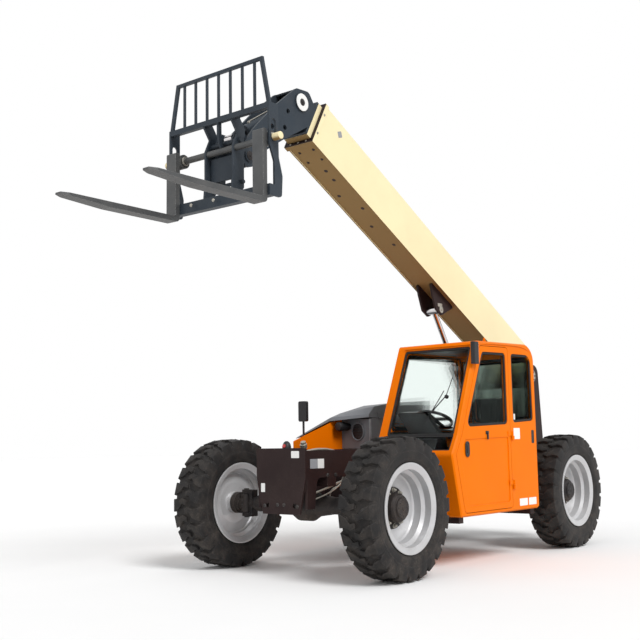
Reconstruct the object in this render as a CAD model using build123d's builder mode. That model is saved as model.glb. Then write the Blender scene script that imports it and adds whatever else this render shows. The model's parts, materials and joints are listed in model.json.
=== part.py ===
from build123d import *
import math
import os

os.makedirs("parts", exist_ok=True)

# Driving dimensions in millimetres, with +X forward, +Y to the left and +Z up
front_axle_x = 1035
wheelbase = 3380
track = 2050
tyre_radius = 635
tyre_width = 360
axle_z = 635
kingpin_y = 800
boom_angle = 28
boom_width = 340
boom_depth = 470
boom_length = 4680
boom_axis_v = 178
pivot_x = -4100
pivot_z = 2020
frame_half = 300
plate_thickness = 25
pin_gap = 0.3

# Foremost point of the forks
fork_tip_x = 2500

# Cab
cab_left = 1150
cab_right = 220
cab_step_right = 315
cab_step_z = 1170
cab_wall = 45

# Engine hood on the right
hood_inner = -250
hood_outer = -1150
hood_nose_inner = -650

# Pins in the side view, as (x, z)
head_pin = (940, 3820)
tilt_base_pin = (190, 4520)
tilt_rod_pin = (1020, 3990)
lift_base_pin = (-3500, 920)
lift_rod_pin = (-2316, 2720)
fork_shaft = (1140, 3848)
hook_pin = (1095, 3925)
lock_pin = (1075, 3545)

# Fork shaft, with turned-down ends outside the carriage
shaft_radius = 30
shaft_half = 640
shaft_end = 80
shaft_end_radius = 26


def side_at(y):
    """Side view plane at a width: local x is forward, local y is up, extrusion goes to the right."""
    return Plane(origin=(front_axle_x, y, 0), x_dir=(1, 0, 0), z_dir=(0, -1, 0))


def front_at(x):
    """Front view plane at a station: local x is left, local y is up, extrusion goes forward."""
    return Plane(origin=(front_axle_x + x, 0, 0), x_dir=(0, 1, 0), z_dir=(1, 0, 0))


def top_at(z):
    """Plan view plane at a height: local x is forward, local y is left."""
    return Plane(origin=(front_axle_x, 0, z), x_dir=(1, 0, 0), z_dir=(0, 0, 1))


def boom_at(y):
    """Side view plane along the boom: local x runs along it from its pivot, local y is its depth."""
    slope = math.radians(boom_angle)
    along = (math.cos(slope), 0, math.sin(slope))
    return Plane(origin=(front_axle_x + pivot_x, y, pivot_z), x_dir=along, z_dir=(0, -1, 0))


def along_pins(start, end):
    """Plane at the start pin whose local x runs to the end pin, in the side view."""
    reach = (end[0] - start[0], 0, end[1] - start[1])
    return Plane(origin=(front_axle_x + start[0], 0, start[1]), x_dir=reach, z_dir=(0, -1, 0))


def pin_distance(start, end):
    return math.hypot(end[0] - start[0], end[1] - start[1])


def outline(plane, points, radius=0):
    """A closed outline with rounded corners, as a face on a plane."""
    with BuildSketch(plane) as face:
        with BuildLine():
            FilletPolyline(*points, radius=radius, close=True)
        make_face()
    return face.sketch


def rounded(plane, points, radii, grow=0):
    with BuildSketch(plane) as face:
        with BuildLine():
            FilletPolyline(*points, radius=radii, close=True)
        make_face()
        if grow != 0:
            offset(amount=grow, kind=Kind.INTERSECTION)
    return face.sketch


def pierced(plane, points, radius, holes):
    """A rounded outline with round holes, as a face on a plane."""
    with BuildSketch(plane) as face:
        with BuildLine():
            FilletPolyline(*points, radius=radius, close=True)
        make_face()
        for centre, hole in holes:
            with Locations(centre):
                Circle(hole, mode=Mode.SUBTRACT)
    return face.sketch


def disc(plane, centre, radius):
    with BuildSketch(plane) as face:
        with Locations(centre):
            Circle(radius)
    return face.sketch


def panel(plane, centre, width, height, radius=0):
    """A rectangle with rounded corners, as a face on a plane."""
    with BuildSketch(plane) as face:
        with Locations(centre):
            if radius > 0:
                RectangleRounded(width, height, radius)
            else:
                Rectangle(width, height)
    return face.sketch


def save(piece, name):
    piece.part.label = name
    export_step(piece.part, f"parts/{name}.step")


# Wheels, each made about its own centre with its outer face towards +Y
rim_seat = 352
rim_flange = 400
rim_half = 166
seat_half = 150
lug_count = 20
lug_height = 80
tread_sides = 2 * lug_count
carcass_sections = [(-seat_half, 404), (-178, 500), (-140, 603), (140, 603), (178, 500), (seat_half, 404)]
lug_outline = [(-66, 176), (66, 176), (30, 4), (-30, 4)]
wheel_centre_plane = Plane(origin=(0, 0, 0), x_dir=(1, 0, 0), z_dir=(0, 1, 0))
rim_section = [
    (0, -90), (110, -90), (110, -58), (200, -58), (296, -38), (308, -52), (308, -76), (340, -100),
    (340, -seat_half), (388, -rim_half), (rim_flange, -rim_half), (rim_flange, -rim_half + 10),
    (rim_seat, -seat_half), (rim_seat, -96), (320, -72), (320, 56), (rim_seat, 80), (rim_seat, seat_half),
    (rim_flange, rim_half - 10), (rim_flange, rim_half), (388, rim_half), (340, seat_half), (340, 84),
    (308, 60), (308, -14), (292, -26), (200, -45), (178, -45), (178, -30), (132, -30), (125, -20),
    (125, 12), (112, 26), (92, 30), (88, 44), (0, 46),
]


def lug_plane(angle):
    """Plane inside the tread whose local x runs round the tyre and local y runs across it."""
    turn = math.radians(angle)
    outward = (math.cos(turn), 0, math.sin(turn))
    depth = tyre_radius - lug_height
    centre = (depth * outward[0], 0, depth * outward[2])
    return Plane(origin=centre, x_dir=(-outward[2], 0, outward[0]), z_dir=outward)


with BuildPart() as tyre:
    for offset_y, radius in carcass_sections:
        with BuildSketch(wheel_centre_plane.offset(offset_y)):
            RegularPolygon(radius, tread_sides, major_radius=False, rotation=180 / tread_sides)
    loft(ruled=True)
    for row, first in ((1, -90), (-1, -90 + 180 / lug_count)):
        lug_planes = [lug_plane(first + step * 360 / lug_count) for step in range(lug_count)]
        with BuildSketch(*lug_planes):
            with BuildLine():
                Polyline(*[(along, row * across) for along, across in lug_outline], close=True)
            make_face()
        extrude(amount=lug_height)
    extrude(disc(wheel_centre_plane.offset(-tyre_width), (0, 0), rim_seat + pin_gap),
            amount=2 * tyre_width, mode=Mode.SUBTRACT)

with BuildPart() as rim:
    with BuildSketch(Plane.XY):
        with BuildLine():
            Polyline(*rim_section, close=True)
        make_face()
    revolve(axis=Axis.Y)


def save_at_wheel(piece, name, station, side):
    """Writes a copy of a wheel piece at its axle end, turned round on the right."""
    spot = Location((front_axle_x + station, side * track / 2, axle_z), (0, 0, 90 - 90 * side))
    placed = piece.part.moved(spot)
    placed.label = name
    export_step(placed, f"parts/{name}.step")


# Knuckles: kingpin housing, spindle flange and the steering arm
knuckle_face = 930
yoke_inner = 95
yoke_outer = 130
kingpin_radius = 25
arm_reach = 190
spindle_flange = 105


def make_knuckle(name, station, side, arm_way):
    """The arm points fore or aft by arm_way."""
    king = side * kingpin_y
    spindle = Plane(origin=(front_axle_x + station, king, axle_z), x_dir=(1, 0, 0), z_dir=(0, side, 0))
    with BuildPart() as knuckle:
        extrude(disc(top_at(axle_z - yoke_inner + 5), (station, king), 60), amount=2 * (yoke_inner - 5))
        extrude(disc(top_at(axle_z - yoke_outer - 12), (station, king), kingpin_radius),
                amount=2 * (yoke_outer + 12))
        extrude(disc(spindle, (0, 0), 70), amount=60)
        extrude(disc(spindle.offset(50), (0, 0), 85), amount=28)
        extrude(disc(spindle.offset(75), (0, 0), spindle_flange), amount=knuckle_face - kingpin_y - 75)
        arm = [(station - 40 * arm_way, king + side * 40), (station - 40 * arm_way, king - side * 20),
               (station + arm_way * (arm_reach + 30), king - side * 35),
               (station + arm_way * (arm_reach + 30), king + side * 5)]
        extrude(outline(top_at(axle_z - 25), arm), amount=22)
    save(knuckle, name)


for end, station, arm_way in (("front", 0, -1), ("rear", -wheelbase, 1)):
    for hand, side in (("left", 1), ("right", -1)):
        save_at_wheel(tyre, f"tyre_{end}_{hand}", station, side)
        save_at_wheel(rim, f"rim_{end}_{hand}", station, side)
        make_knuckle(f"knuckle_{end}_{hand}", station, side, arm_way)


# Axles: trumpet housings, differential, yokes that hold the kingpins, and the steering cylinder
housing_half = [(0, 150), (70, 150), (150, 105), (330, 80), (620, 80), (680, 56), (720, 56)]
snout_radius = 88
snout_length = 270
steer_barrel_half = 180
steer_rod_radius = 22


def make_axle(name, station, arm_way):
    """The differential's snout and the steering cylinder both stand on the side given by arm_way."""
    across = Plane(origin=(front_axle_x + station, 0, axle_z), x_dir=(1, 0, 0), z_dir=(0, 0, 1))
    middle = Axis((front_axle_x + station, 0, axle_z), (0, 1, 0))
    snout = Plane(origin=(front_axle_x + station, 0, axle_z - 10), x_dir=(0, 1, 0), z_dir=(arm_way, 0, 0))
    rod_x = station + arm_way * arm_reach
    barrel = Plane(origin=(front_axle_x + rod_x, -steer_barrel_half, axle_z + steer_rod_radius),
                   x_dir=(1, 0, 0), z_dir=(0, 1, 0))
    with BuildPart() as axle:
        with BuildSketch(across):
            with BuildLine():
                right = [(radius, -reach) for reach, radius in reversed(housing_half)]
                left = [(radius, reach) for reach, radius in housing_half[1:]]
                Polyline((0, -720), *right, *left, (0, 720), close=True)
            make_face()
        revolve(axis=middle)
        extrude(disc(snout, (0, 0), snout_radius), amount=snout_length)
        extrude(disc(snout.offset(snout_length), (0, 0), 60), amount=40)
        for side in (1, -1):
            extrude(panel(top_at(axle_z - yoke_outer), (station, side * 705), 90, 30), amount=2 * yoke_outer)
            for low in (axle_z - yoke_outer, axle_z + yoke_inner):
                with BuildSketch(top_at(low)) as plate:
                    with Locations((station, side * 745)):
                        Rectangle(90, 110)
                    with Locations((station, side * kingpin_y)):
                        Circle(45)
                        Circle(kingpin_radius + pin_gap, mode=Mode.SUBTRACT)
                extrude(plate.sketch, amount=yoke_outer - yoke_inner)
        extrude(disc(barrel, (0, 0), 45), amount=2 * steer_barrel_half)
        for side in (1, -1):
            extrude(panel(top_at(axle_z), (station + arm_way * 120, side * 120), 170, 40), amount=44)
        extrude(disc(barrel, (0, 0), steer_rod_radius + pin_gap), amount=2 * steer_barrel_half,
                mode=Mode.SUBTRACT)
    save(axle, name)


def make_tie_rod(name, station, arm_way):
    rod_x = front_axle_x + station + arm_way * arm_reach
    start = Plane(origin=(rod_x, -790, axle_z + steer_rod_radius), x_dir=(1, 0, 0), z_dir=(0, 1, 0))
    with BuildPart() as rod:
        extrude(disc(start, (0, 0), steer_rod_radius), amount=1580)
    save(rod, name)


make_axle("front_axle", 0, -1)
make_axle("rear_axle", -wheelbase, 1)
make_tie_rod("front_tie_rod", 0, -1)
make_tie_rod("rear_tie_rod", -wheelbase, 1)


# Chassis: two side plates with the boom tower at the rear, joined by cross members
tie_bore_radius = 25
tow_bore_radius = 20
tower_hole = 45
side_plate_points = [
    (360, 1150), (360, 620), (250, 620), (215, 900), (-420, 900), (-560, 560), (-2550, 560),
    (-2750, 800), (-3950, 800), (-4040, 600), (-4330, 600), (-4340, 1150), (-4260, 2160),
    (-3940, 2160), (-3600, 1560), (-2950, 1150),
]
side_plate_radii = [10, 10, 10, 60, 60, 60, 60, 90, 90, 20, 20, 60, 120, 120, 200, 200]

with BuildPart() as frame:
    for side in (1, -1):
        left_face = frame_half if side > 0 else -frame_half + plate_thickness
        side_plate = pierced(side_at(left_face), side_plate_points, side_plate_radii,
                             [((pivot_x, pivot_z), tower_hole)])
        extrude(side_plate, amount=plate_thickness)
    front_plate = [(-300, 1175), (300, 1175), (300, 900), (225, 570), (-225, 570), (-300, 900)]
    extrude(outline(front_at(360), front_plate, 12), amount=25)
    for side in (1, -1):
        extrude(disc(front_at(355), (side * 165, 650), tie_bore_radius), amount=35, mode=Mode.SUBTRACT)
    inner_width = 2 * (frame_half - plate_thickness)
    extrude(panel(top_at(1120), (180, 0), 360, inner_width), amount=25)
    extrude(panel(top_at(815), (0, 0), 130, inner_width + 2 * plate_thickness), amount=90)
    extrude(panel(top_at(560), (-1555, 0), 1900, inner_width), amount=20)
    extrude(panel(front_at(-620), (0, 860), inner_width, 560), amount=20)
    extrude(panel(top_at(800), (-3350, 0), 1100, inner_width), amount=25)
    extrude(panel(front_at(-4335), (0, 1000), inner_width, 760), amount=25)
    for lug_y in (115, -90):
        lug = [(-3640, 810), (-3360, 810), (-3430, 985), (-3570, 985)]
        extrude(outline(side_at(lug_y), lug, 20), amount=25)
    extrude(disc(side_at(125), lift_base_pin, 30), amount=250)
    for station in (-970, -2420):
        extrude(panel(side_at(frame_half + 12), (station, 535), 180, 208), amount=12)
        extrude(panel(side_at(cab_left - 50), (station, 461), 80, 60), amount=cab_left - 50 - frame_half)
    for station in (-1470, -2500):
        extrude(panel(side_at(-frame_half), (station, 610), 80, 60), amount=-hood_outer - 20 - frame_half)
    for station in (-1650, -2250):
        extrude(panel(side_at(-frame_half), (station, 730), 90, 60), amount=100)
    for station in (-1040, -1260):
        extrude(panel(side_at(-frame_half), (station, 625), 60, 30), amount=340)
save(frame, "frame")

with BuildPart() as boom_pin:
    extrude(disc(side_at(frame_half), (pivot_x, pivot_z), tower_hole), amount=2 * frame_half)
    for face_y in (frame_half + 14, -frame_half):
        extrude(disc(side_at(face_y), (pivot_x, pivot_z), 75), amount=14)
save(boom_pin, "boom_pin")

with BuildPart() as counterweight:
    weight = [(-4450, -590), (-4060, -590), (-4060, -310), (-4345, -310), (-4345, 310), (-4060, 310),
              (-4060, 590), (-4450, 590)]
    extrude(rounded(top_at(560), weight, [70, 30, 20, 10, 10, 20, 30, 70]), amount=600)
    with BuildSketch(top_at(685)) as hitch:
        with Locations((-4500, 0)):
            SlotOverall(140, 90)
        with Locations((-4505, 0)):
            Circle(tow_bore_radius, mode=Mode.SUBTRACT)
    extrude(hitch.sketch, amount=30)
save(counterweight, "counterweight")

with BuildPart() as engine_block:
    extrude(panel(top_at(700), (-1950, -640), 900, 480), amount=620)
save(engine_block, "engine_block")

# Engine enclosure on the right: orange side and nose, grey front panel, grey lid
enclosure_wall = 25
enclosure_rear = -2560
grille_x = -1410
outer_seam_z = 1300

nose_inner = [(-660, 1150), (-660, 1275), (-1190, 1440), (grille_x, 1480), (grille_x, 640), (-1080, 640),
              (-880, 860), (-820, 1150)]
nose_outer = [(-660, 1050), (-660, 1085), (-1190, 1262), (grille_x, 1300), (grille_x, 640), (-1080, 640),
              (-880, 860), (-820, 1050)]
nose_radii = [8, 20, 120, 10, 10, 80, 80, 8]
wheel_cut = [(-560, -660), (-560, -1200), (-1210, -1200)]
louvre = (210, 22)


def lengthwise(stations, radii):
    """Rounded side outlines at their widths, ready to be lofted across the hood."""
    return [rounded(side_at(y), points, radii) for y, points in stations]


with BuildPart() as nose:
    loft(lengthwise([(hood_nose_inner, nose_inner), (hood_outer, nose_outer)], nose_radii), ruled=True)
    extrude(outline(top_at(600), wheel_cut), amount=1000, mode=Mode.SUBTRACT)

with BuildPart() as engine_cover:
    add(nose.part)
    extrude(panel(top_at(600), (-1280, -870), 340, 380), amount=600, mode=Mode.SUBTRACT)
    body_side = [(grille_x, outer_seam_z), (grille_x, 640), (enclosure_rear, 640), (enclosure_rear, 1480)]
    extrude(outline(side_at(hood_outer + enclosure_wall), body_side), amount=enclosure_wall)
    rear_wall = [(hood_outer, 640), (-315, 640), (-315, 1165), (-260, 1165), (-260, 1475),
                 (hood_outer, 1475)]
    extrude(outline(front_at(enclosure_rear), rear_wall), amount=enclosure_wall)
    with BuildSketch(side_at(hood_outer + enclosure_wall + 5)) as vents:
        with Locations((-2250, 1240)):
            with GridLocations(260, 52, 2, 5):
                SlotOverall(*louvre)
    extrude(vents.sketch, amount=enclosure_wall + 10, mode=Mode.SUBTRACT)
save(engine_cover, "engine_cover")

# Line of the lid's hinges, as (y, z)
hood_hinge = (-237, 1480)
hinge_radius = 11
hinge_stations = (-1560, -2000, -2440)


def hinge_plane(station):
    """Plane across the lid's hinge line, extrusion goes forward."""
    centre = (front_axle_x + station, hood_hinge[0], hood_hinge[1])
    return Plane(origin=centre, x_dir=(0, 1, 0), z_dir=(1, 0, 0))


# Grey panels between the hood and the boom, with the air intake and the oval lamp recess in front
with BuildPart() as hood_grille:
    extrude(panel(front_at(grille_x), (-450, 1310), 400, 320), amount=28)
    with BuildSketch(front_at(grille_x + 14)) as recess:
        with Locations((-470, 1360)):
            Ellipse(38, 62)
    extrude(recess.sketch, amount=20, mode=Mode.SUBTRACT)
    extrude(panel(side_at(hood_inner), (-1972.5, 1315), 1125, 330), amount=enclosure_wall)
    with BuildSketch(side_at(hood_inner + 5)) as intake:
        with Locations((-2060, 1330)):
            with GridLocations(240, 44, 3, 5):
                SlotOverall(200, 18)
    extrude(intake.sketch, amount=enclosure_wall + 10, mode=Mode.SUBTRACT)
    for station in hinge_stations:
        extrude(disc(hinge_plane(station - 51), (0, 0), hinge_radius), amount=50)
        extrude(panel(side_at(hood_inner + 6), (station - 26, 1450), 50, 60), amount=6)
save(hood_grille, "hood_grille")

# Lid of the hood: a crowned shell on hinges along its inner edge
lid_wall = 30
lid_sections = [
    (hood_inner, [(-1340, 1486), (-1352, 1520), (-1450, 1605), (-1850, 1655), (-2560, 1690), (-2560, 1484),
                  (-1412, 1484)]),
    (hood_nose_inner, [(-1165, 1452), (-1180, 1490), (-1354, 1540), (-1800, 1632), (-2560, 1680),
                       (-2560, 1484), (-1412, 1484)]),
    (hood_outer, [(-1175, 1270), (-1195, 1284), (-1400, 1345), (-1850, 1500), (-2560, 1640), (-2560, 1484),
                  (-1412, 1306)]),
]
lid_room = [
    (hood_inner - lid_wall, [(-1440, 1400), (-1440, 1560), (-1850, 1620), (-2530, 1655), (-2530, 1400)]),
    (hood_outer + lid_wall, [(-1440, 1200), (-1440, 1332), (-1850, 1465), (-2530, 1600), (-2530, 1200)]),
]

with BuildPart() as hood_lid:
    loft([outline(side_at(y), points) for y, points in lid_sections], ruled=True)
    loft([outline(side_at(y), points) for y, points in lid_room], ruled=True, mode=Mode.SUBTRACT)
    for station in hinge_stations:
        extrude(disc(hinge_plane(station), (0, 0), hinge_radius), amount=50)
        extrude(panel(side_at(hood_inner + 6), (station + 25, 1510), 50, 60), amount=6)
save(hood_lid, "hood_lid")

# Cab: hollow shell with the door opening and windows cut
cab_profile = [(-904, 491), (-764, 1085), (-883, 1272), (-1285, 2210), (-2500, 2243), (-2500, 491)]
cab_radii = [30, 60, 80, 50, 190, 40]
door_points = [(-975, 530), (-842, 1083), (-962, 1285), (-1348, 2160), (-1915, 2175), (-1915, 530)]
door_radii = [40, 60, 80, 50, 40, 40]
door_window = [(-1045, 1350), (-1390, 2105), (-1865, 2118), (-1865, 1380)]
door_pressing = [(-1035, 590), (-925, 1085), (-1010, 1230), (-1865, 1250), (-1865, 590)]
door_handle = (-1050, 1136)
door_hinge = (-1938, 1162)
hinge_lows = (760, 1260)
hinge_height = 45
quarter_window = [(-1985, 1395), (-1985, 2118), (-2420, 2125), (-2430, 1420)]
quarter_radii = [40, 40, 120, 40]
right_window = [(-1050, 1350), (-1390, 2105), (-2420, 2125), (-2420, 1350)]
screen_width = 790
screen_height = 960
screen_middle = -30
toe_height = 171
toe_middle = 25.5
fold_room = 5
door_gap = 6
glass_thickness = 6
cab_middle = (cab_left + cab_right) / 2 + 20


def sloped_plane(foot, head, inset):
    """Plane of a front face of the cab between two points of its profile, set in from its outside."""
    rise = math.hypot(head[0] - foot[0], head[1] - foot[1])
    normal = ((head[1] - foot[1]) / rise, 0, (foot[0] - head[0]) / rise)
    centre_x = front_axle_x + (foot[0] + head[0]) / 2 - inset * normal[0]
    centre_z = (foot[1] + head[1]) / 2 - inset * normal[2]
    return Plane(origin=(centre_x, cab_middle, centre_z), x_dir=(0, 1, 0), z_dir=normal)


def screen_plane(inset):
    return sloped_plane(cab_profile[2], cab_profile[3], inset)


def toe_plane(inset):
    return sloped_plane(cab_profile[1], cab_profile[2], inset)


with BuildPart() as cab_frame:
    extrude(rounded(side_at(cab_left), cab_profile, cab_radii), amount=cab_left - cab_right)
    left_rim = cab_frame.faces().sort_by(Axis.Y)[-1].edges()
    chamfer(left_rim, length=14)
    extrude(panel(side_at(cab_step_right), (-1600, 800), 2000, 2 * (cab_step_z - 800)),
            amount=cab_step_right - cab_right + 5, mode=Mode.SUBTRACT)
    extrude(rounded(side_at(cab_left - cab_wall), cab_profile, cab_radii, -cab_wall),
            amount=cab_left - cab_step_right - 2 * cab_wall, mode=Mode.SUBTRACT)
    upper_room = [(-830, 1215), (-883, 1272), (-1285, 2210), (-2500, 2243), (-2500, 1215)]
    extrude(rounded(side_at(cab_step_right + cab_wall + 5), upper_room, [5, 60, 50, 190, 5], -cab_wall),
            amount=cab_step_right - cab_right + 5, mode=Mode.SUBTRACT)
    screen_cut = (0, screen_middle - fold_room / 2)
    toe_cut = (0, toe_middle + fold_room / 2)
    extrude(panel(screen_plane(60), screen_cut, screen_width, screen_height + fold_room, 30), amount=120,
            mode=Mode.SUBTRACT)
    extrude(panel(toe_plane(60), toe_cut, screen_width, toe_height + fold_room, 10), amount=120,
            mode=Mode.SUBTRACT)
    extrude(panel(front_at(-2560), (690, 1760), 780, 640, 60), amount=130, mode=Mode.SUBTRACT)
    extrude(rounded(side_at(cab_right + 60), right_window, 50), amount=80, mode=Mode.SUBTRACT)
    extrude(rounded(side_at(cab_left + 5), door_points, door_radii, door_gap), amount=60, mode=Mode.SUBTRACT)
    extrude(rounded(side_at(cab_left + 5), quarter_window, quarter_radii), amount=60, mode=Mode.SUBTRACT)
    for low in hinge_lows:
        extrude(disc(top_at(low - hinge_height - 1), door_hinge, hinge_radius), amount=hinge_height)
        extrude(panel(side_at(cab_left + 8), (door_hinge[0] - 25, low - hinge_height / 2 - 1), 50,
                      hinge_height), amount=8)
save(cab_frame, "cab_frame")

with BuildPart() as cab_glass:
    extrude(panel(screen_plane(26), (0, screen_middle), screen_width, screen_height, 36),
            amount=glass_thickness)
    extrude(panel(toe_plane(26), (0, toe_middle), screen_width, toe_height, 12), amount=glass_thickness)
    extrude(panel(front_at(-2482), (690, 1760), 780, 640, 60), amount=glass_thickness)
    extrude(rounded(side_at(cab_right + 26), right_window, 50), amount=glass_thickness)
    extrude(rounded(side_at(cab_left - 20), quarter_window, quarter_radii), amount=glass_thickness)
save(cab_glass, "cab_glass")

with BuildPart() as door:
    extrude(rounded(side_at(cab_left), door_points, door_radii), amount=cab_wall)
    extrude(rounded(side_at(cab_left + 5), door_window, 50), amount=60, mode=Mode.SUBTRACT)
    extrude(rounded(side_at(cab_left + 1), door_pressing, 30), amount=9, mode=Mode.SUBTRACT)
    extrude(panel(side_at(cab_left + 1), door_handle, 46, 140, 20), amount=31, mode=Mode.SUBTRACT)
    extrude(panel(side_at(cab_left - 10), door_handle, 20, 142, 4), amount=14)
    for low in hinge_lows:
        extrude(disc(top_at(low), door_hinge, hinge_radius), amount=hinge_height)
        extrude(panel(side_at(cab_left + 8), (door_hinge[0] + 40, low + hinge_height / 2), 80, hinge_height),
                amount=8)
save(door, "door")

with BuildPart() as door_glass:
    extrude(rounded(side_at(cab_left - 20), door_window, 50), amount=glass_thickness)
save(door_glass, "door_glass")

seat_y = 690
with BuildPart() as seat:
    extrude(panel(top_at(960), (-1900, seat_y), 500, 500, 60), amount=130)
    fillet(seat.faces().sort_by(Axis.Z)[-1].edges(), 35)
    back = [(-2110, 1080), (-2215, 1700), (-2320, 1700), (-2250, 1080)]
    extrude(outline(side_at(seat_y + 230), back, 35), amount=460)
    for side in (1, -1):
        rest_y = seat_y + side * 275
        extrude(panel(top_at(1240), (-2040, rest_y), 300, 50, 20), amount=45)
        extrude(panel(top_at(1000), (-2150, rest_y), 60, 50), amount=245)
    extrude(panel(top_at(536), (-1930, seat_y), 380, 380, 20), amount=424)
save(seat, "seat")

with BuildPart() as console:
    dash = [(-960, 536), (-875, 1075), (-955, 1240), (-1110, 1250), (-1150, 1100), (-1080, 536)]
    extrude(outline(side_at(870), dash, 20), amount=360)
    column = Plane(origin=(front_axle_x - 1080, seat_y, 1200), x_dir=(0, 1, 0), z_dir=(-0.42, 0, 0.9))
    extrude(disc(column, (0, 0), 30), amount=260)
    with BuildSketch(column.offset(250)) as wheel_ring:
        Circle(190)
        Circle(165, mode=Mode.SUBTRACT)
        for spoke_turn in (0, 90):
            Rectangle(340, 34, rotation=spoke_turn)
    extrude(wheel_ring.sketch, amount=22)
save(console, "console")

with BuildPart() as fuel_tank:
    extrude(panel(top_at(640), (-1150, -470), 420, 340, 50), amount=420)
save(fuel_tank, "fuel_tank")

# Mirrors: one on the left pillar, one on a stalk that stands on the hood's nose
with BuildPart() as mirrors:
    extrude(panel(top_at(1970), (-1200, 1179), 90, 48, 12), amount=220)
    extrude(panel(side_at(1162), (-1265, 2165), 90, 30, 5), amount=12)
    extrude(panel(front_at(-920), (-800, 1560), 110, 220, 20), amount=40)
    extrude(disc(top_at(1250), (-900, -800), 12), amount=210)
    add(nose.part, mode=Mode.SUBTRACT)
save(mirrors, "mirrors")

# Lamps: a work lamp on the frame's top plate and two tail lamps on the counterweight
with BuildPart() as lamps:
    extrude(panel(front_at(292), (25, 1195), 78, 100, 16), amount=60)
    for side in (1, -1):
        extrude(panel(front_at(-4465), (side * 480, 1050), 90, 60, 10), amount=15)
save(lamps, "lamps")

# Boom: outer box section on the tower pin, inner section sliding in it
outer_low = boom_axis_v - boom_depth / 2
outer_high = boom_axis_v + boom_depth / 2
boom_wall = 12
channel_depth = 12
boom_tail_u = -190
inner_width_y = 290
inner_depth = 410
inner_tail_u = 620
inner_front_u = 4750

with BuildPart() as outer_boom:
    tail_side = [(boom_tail_u, 300), (-60, outer_high), (boom_length, outer_high), (boom_length, outer_low),
                 (300, outer_low), (80, -120), (-100, -120), (boom_tail_u, -20)]
    tail_radii = [60, 100, 2, 2, 100, 60, 90, 60]
    extrude(rounded(boom_at(boom_width / 2), tail_side, tail_radii), amount=boom_width)
    channel = panel(boom_at(boom_width / 2 - boom_wall), (boom_length / 2 + 220, outer_low), boom_length,
                    2 * channel_depth)
    extrude(channel, amount=boom_width - 2 * boom_wall, mode=Mode.SUBTRACT)
    bore = panel(boom_at(boom_width / 2 - boom_wall), (boom_length / 2 + 200, boom_axis_v + 3), boom_length,
                 boom_depth - 3 * boom_wall + 6)
    extrude(bore, amount=boom_width - 2 * boom_wall, mode=Mode.SUBTRACT)
    extrude(disc(boom_at(265), (0, 0), 85), amount=530)
    extrude(disc(boom_at(270), (0, 0), tower_hole + pin_gap), amount=540, mode=Mode.SUBTRACT)
    collar = panel(boom_at(boom_width / 2 + 12), (boom_length - 25, boom_axis_v), 50, boom_depth + 24)
    extrude(collar, amount=boom_width + 24)
    mouth = panel(boom_at(boom_width / 2 - boom_wall), (boom_length - 25, boom_axis_v + 3), 60,
                  boom_depth - 3 * boom_wall + 6)
    extrude(mouth, amount=boom_width - 2 * boom_wall, mode=Mode.SUBTRACT)
save(outer_boom, "outer_boom")

with BuildPart() as lift_bracket:
    lug_root = outer_low + channel_depth
    lug = [(1680, lug_root), (2230, lug_root), (2130, -150), (1990, -270), (1860, -270), (1770, -150)]
    for lug_y in (103, -78):
        extrude(outline(boom_at(lug_y), lug, 20), amount=25)
save(lift_bracket, "lift_bracket")

with BuildPart() as inner_boom:
    length = inner_front_u - inner_tail_u
    centre_u = (inner_front_u + inner_tail_u) / 2
    extrude(panel(boom_at(inner_width_y / 2), (centre_u, boom_axis_v), length, inner_depth),
            amount=inner_width_y)
    extrude(panel(boom_at(inner_width_y / 2 - boom_wall), (centre_u, boom_axis_v), length + 10,
                  inner_depth - 2 * boom_wall), amount=inner_width_y - 2 * boom_wall, mode=Mode.SUBTRACT)
save(inner_boom, "inner_boom")

# Boom head: two cheeks down to the carriage pin, with the tilt cylinder between them
cheek_inner = 125
cheek_outer = 150
pin_end = 165
head_pin_radius = 35

with BuildPart() as boom_head:
    cheek = [(-26, 4526), (70, 4660), (260, 4650), (560, 4405), (870, 4100), (985, 3950), (1045, 3850),
             (1040, 3770), (960, 3710), (850, 3745), (700, 3930), (460, 4085), (96, 4297)]
    cheek_radii = [20, 60, 60, 120, 80, 60, 30, 40, 60, 60, 90, 60, 30]
    cheek_holes = [(centre, 26) for centre in ((384, 4385), (434, 4211), (615, 4179))]
    for left_y in (cheek_outer, -cheek_inner):
        extrude(pierced(side_at(left_y), cheek, cheek_radii, cheek_holes), amount=cheek_outer - cheek_inner)
    extrude(panel(boom_at(cheek_outer), (inner_front_u + 12, boom_axis_v), 24, 400), amount=2 * cheek_outer)
    belly = [(140, 4283), (460, 4085), (700, 3930), (714, 3948), (474, 4105), (155, 4303)]
    extrude(outline(side_at(cheek_inner), belly), amount=2 * cheek_inner)
    crown = [(-5, 4552), (75, 4656), (255, 4646), (248, 4630), (85, 4638), (10, 4542)]
    extrude(outline(side_at(cheek_inner), crown), amount=2 * cheek_inner)
    for pin, radius in ((tilt_base_pin, 30), (head_pin, head_pin_radius)):
        extrude(disc(side_at(pin_end), pin, radius), amount=2 * pin_end)
    for left_y in (pin_end, -cheek_outer):
        extrude(disc(side_at(left_y), tilt_base_pin, 90), amount=pin_end - cheek_outer)
        extrude(disc(side_at(left_y), head_pin, 55), amount=pin_end - cheek_outer)
save(boom_head, "boom_head")

# Cylinders: each barrel turns on its base pin, each rod slides in its barrel
gland_length = 40
piston_length = 30
barrel_wall = 12


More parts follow.
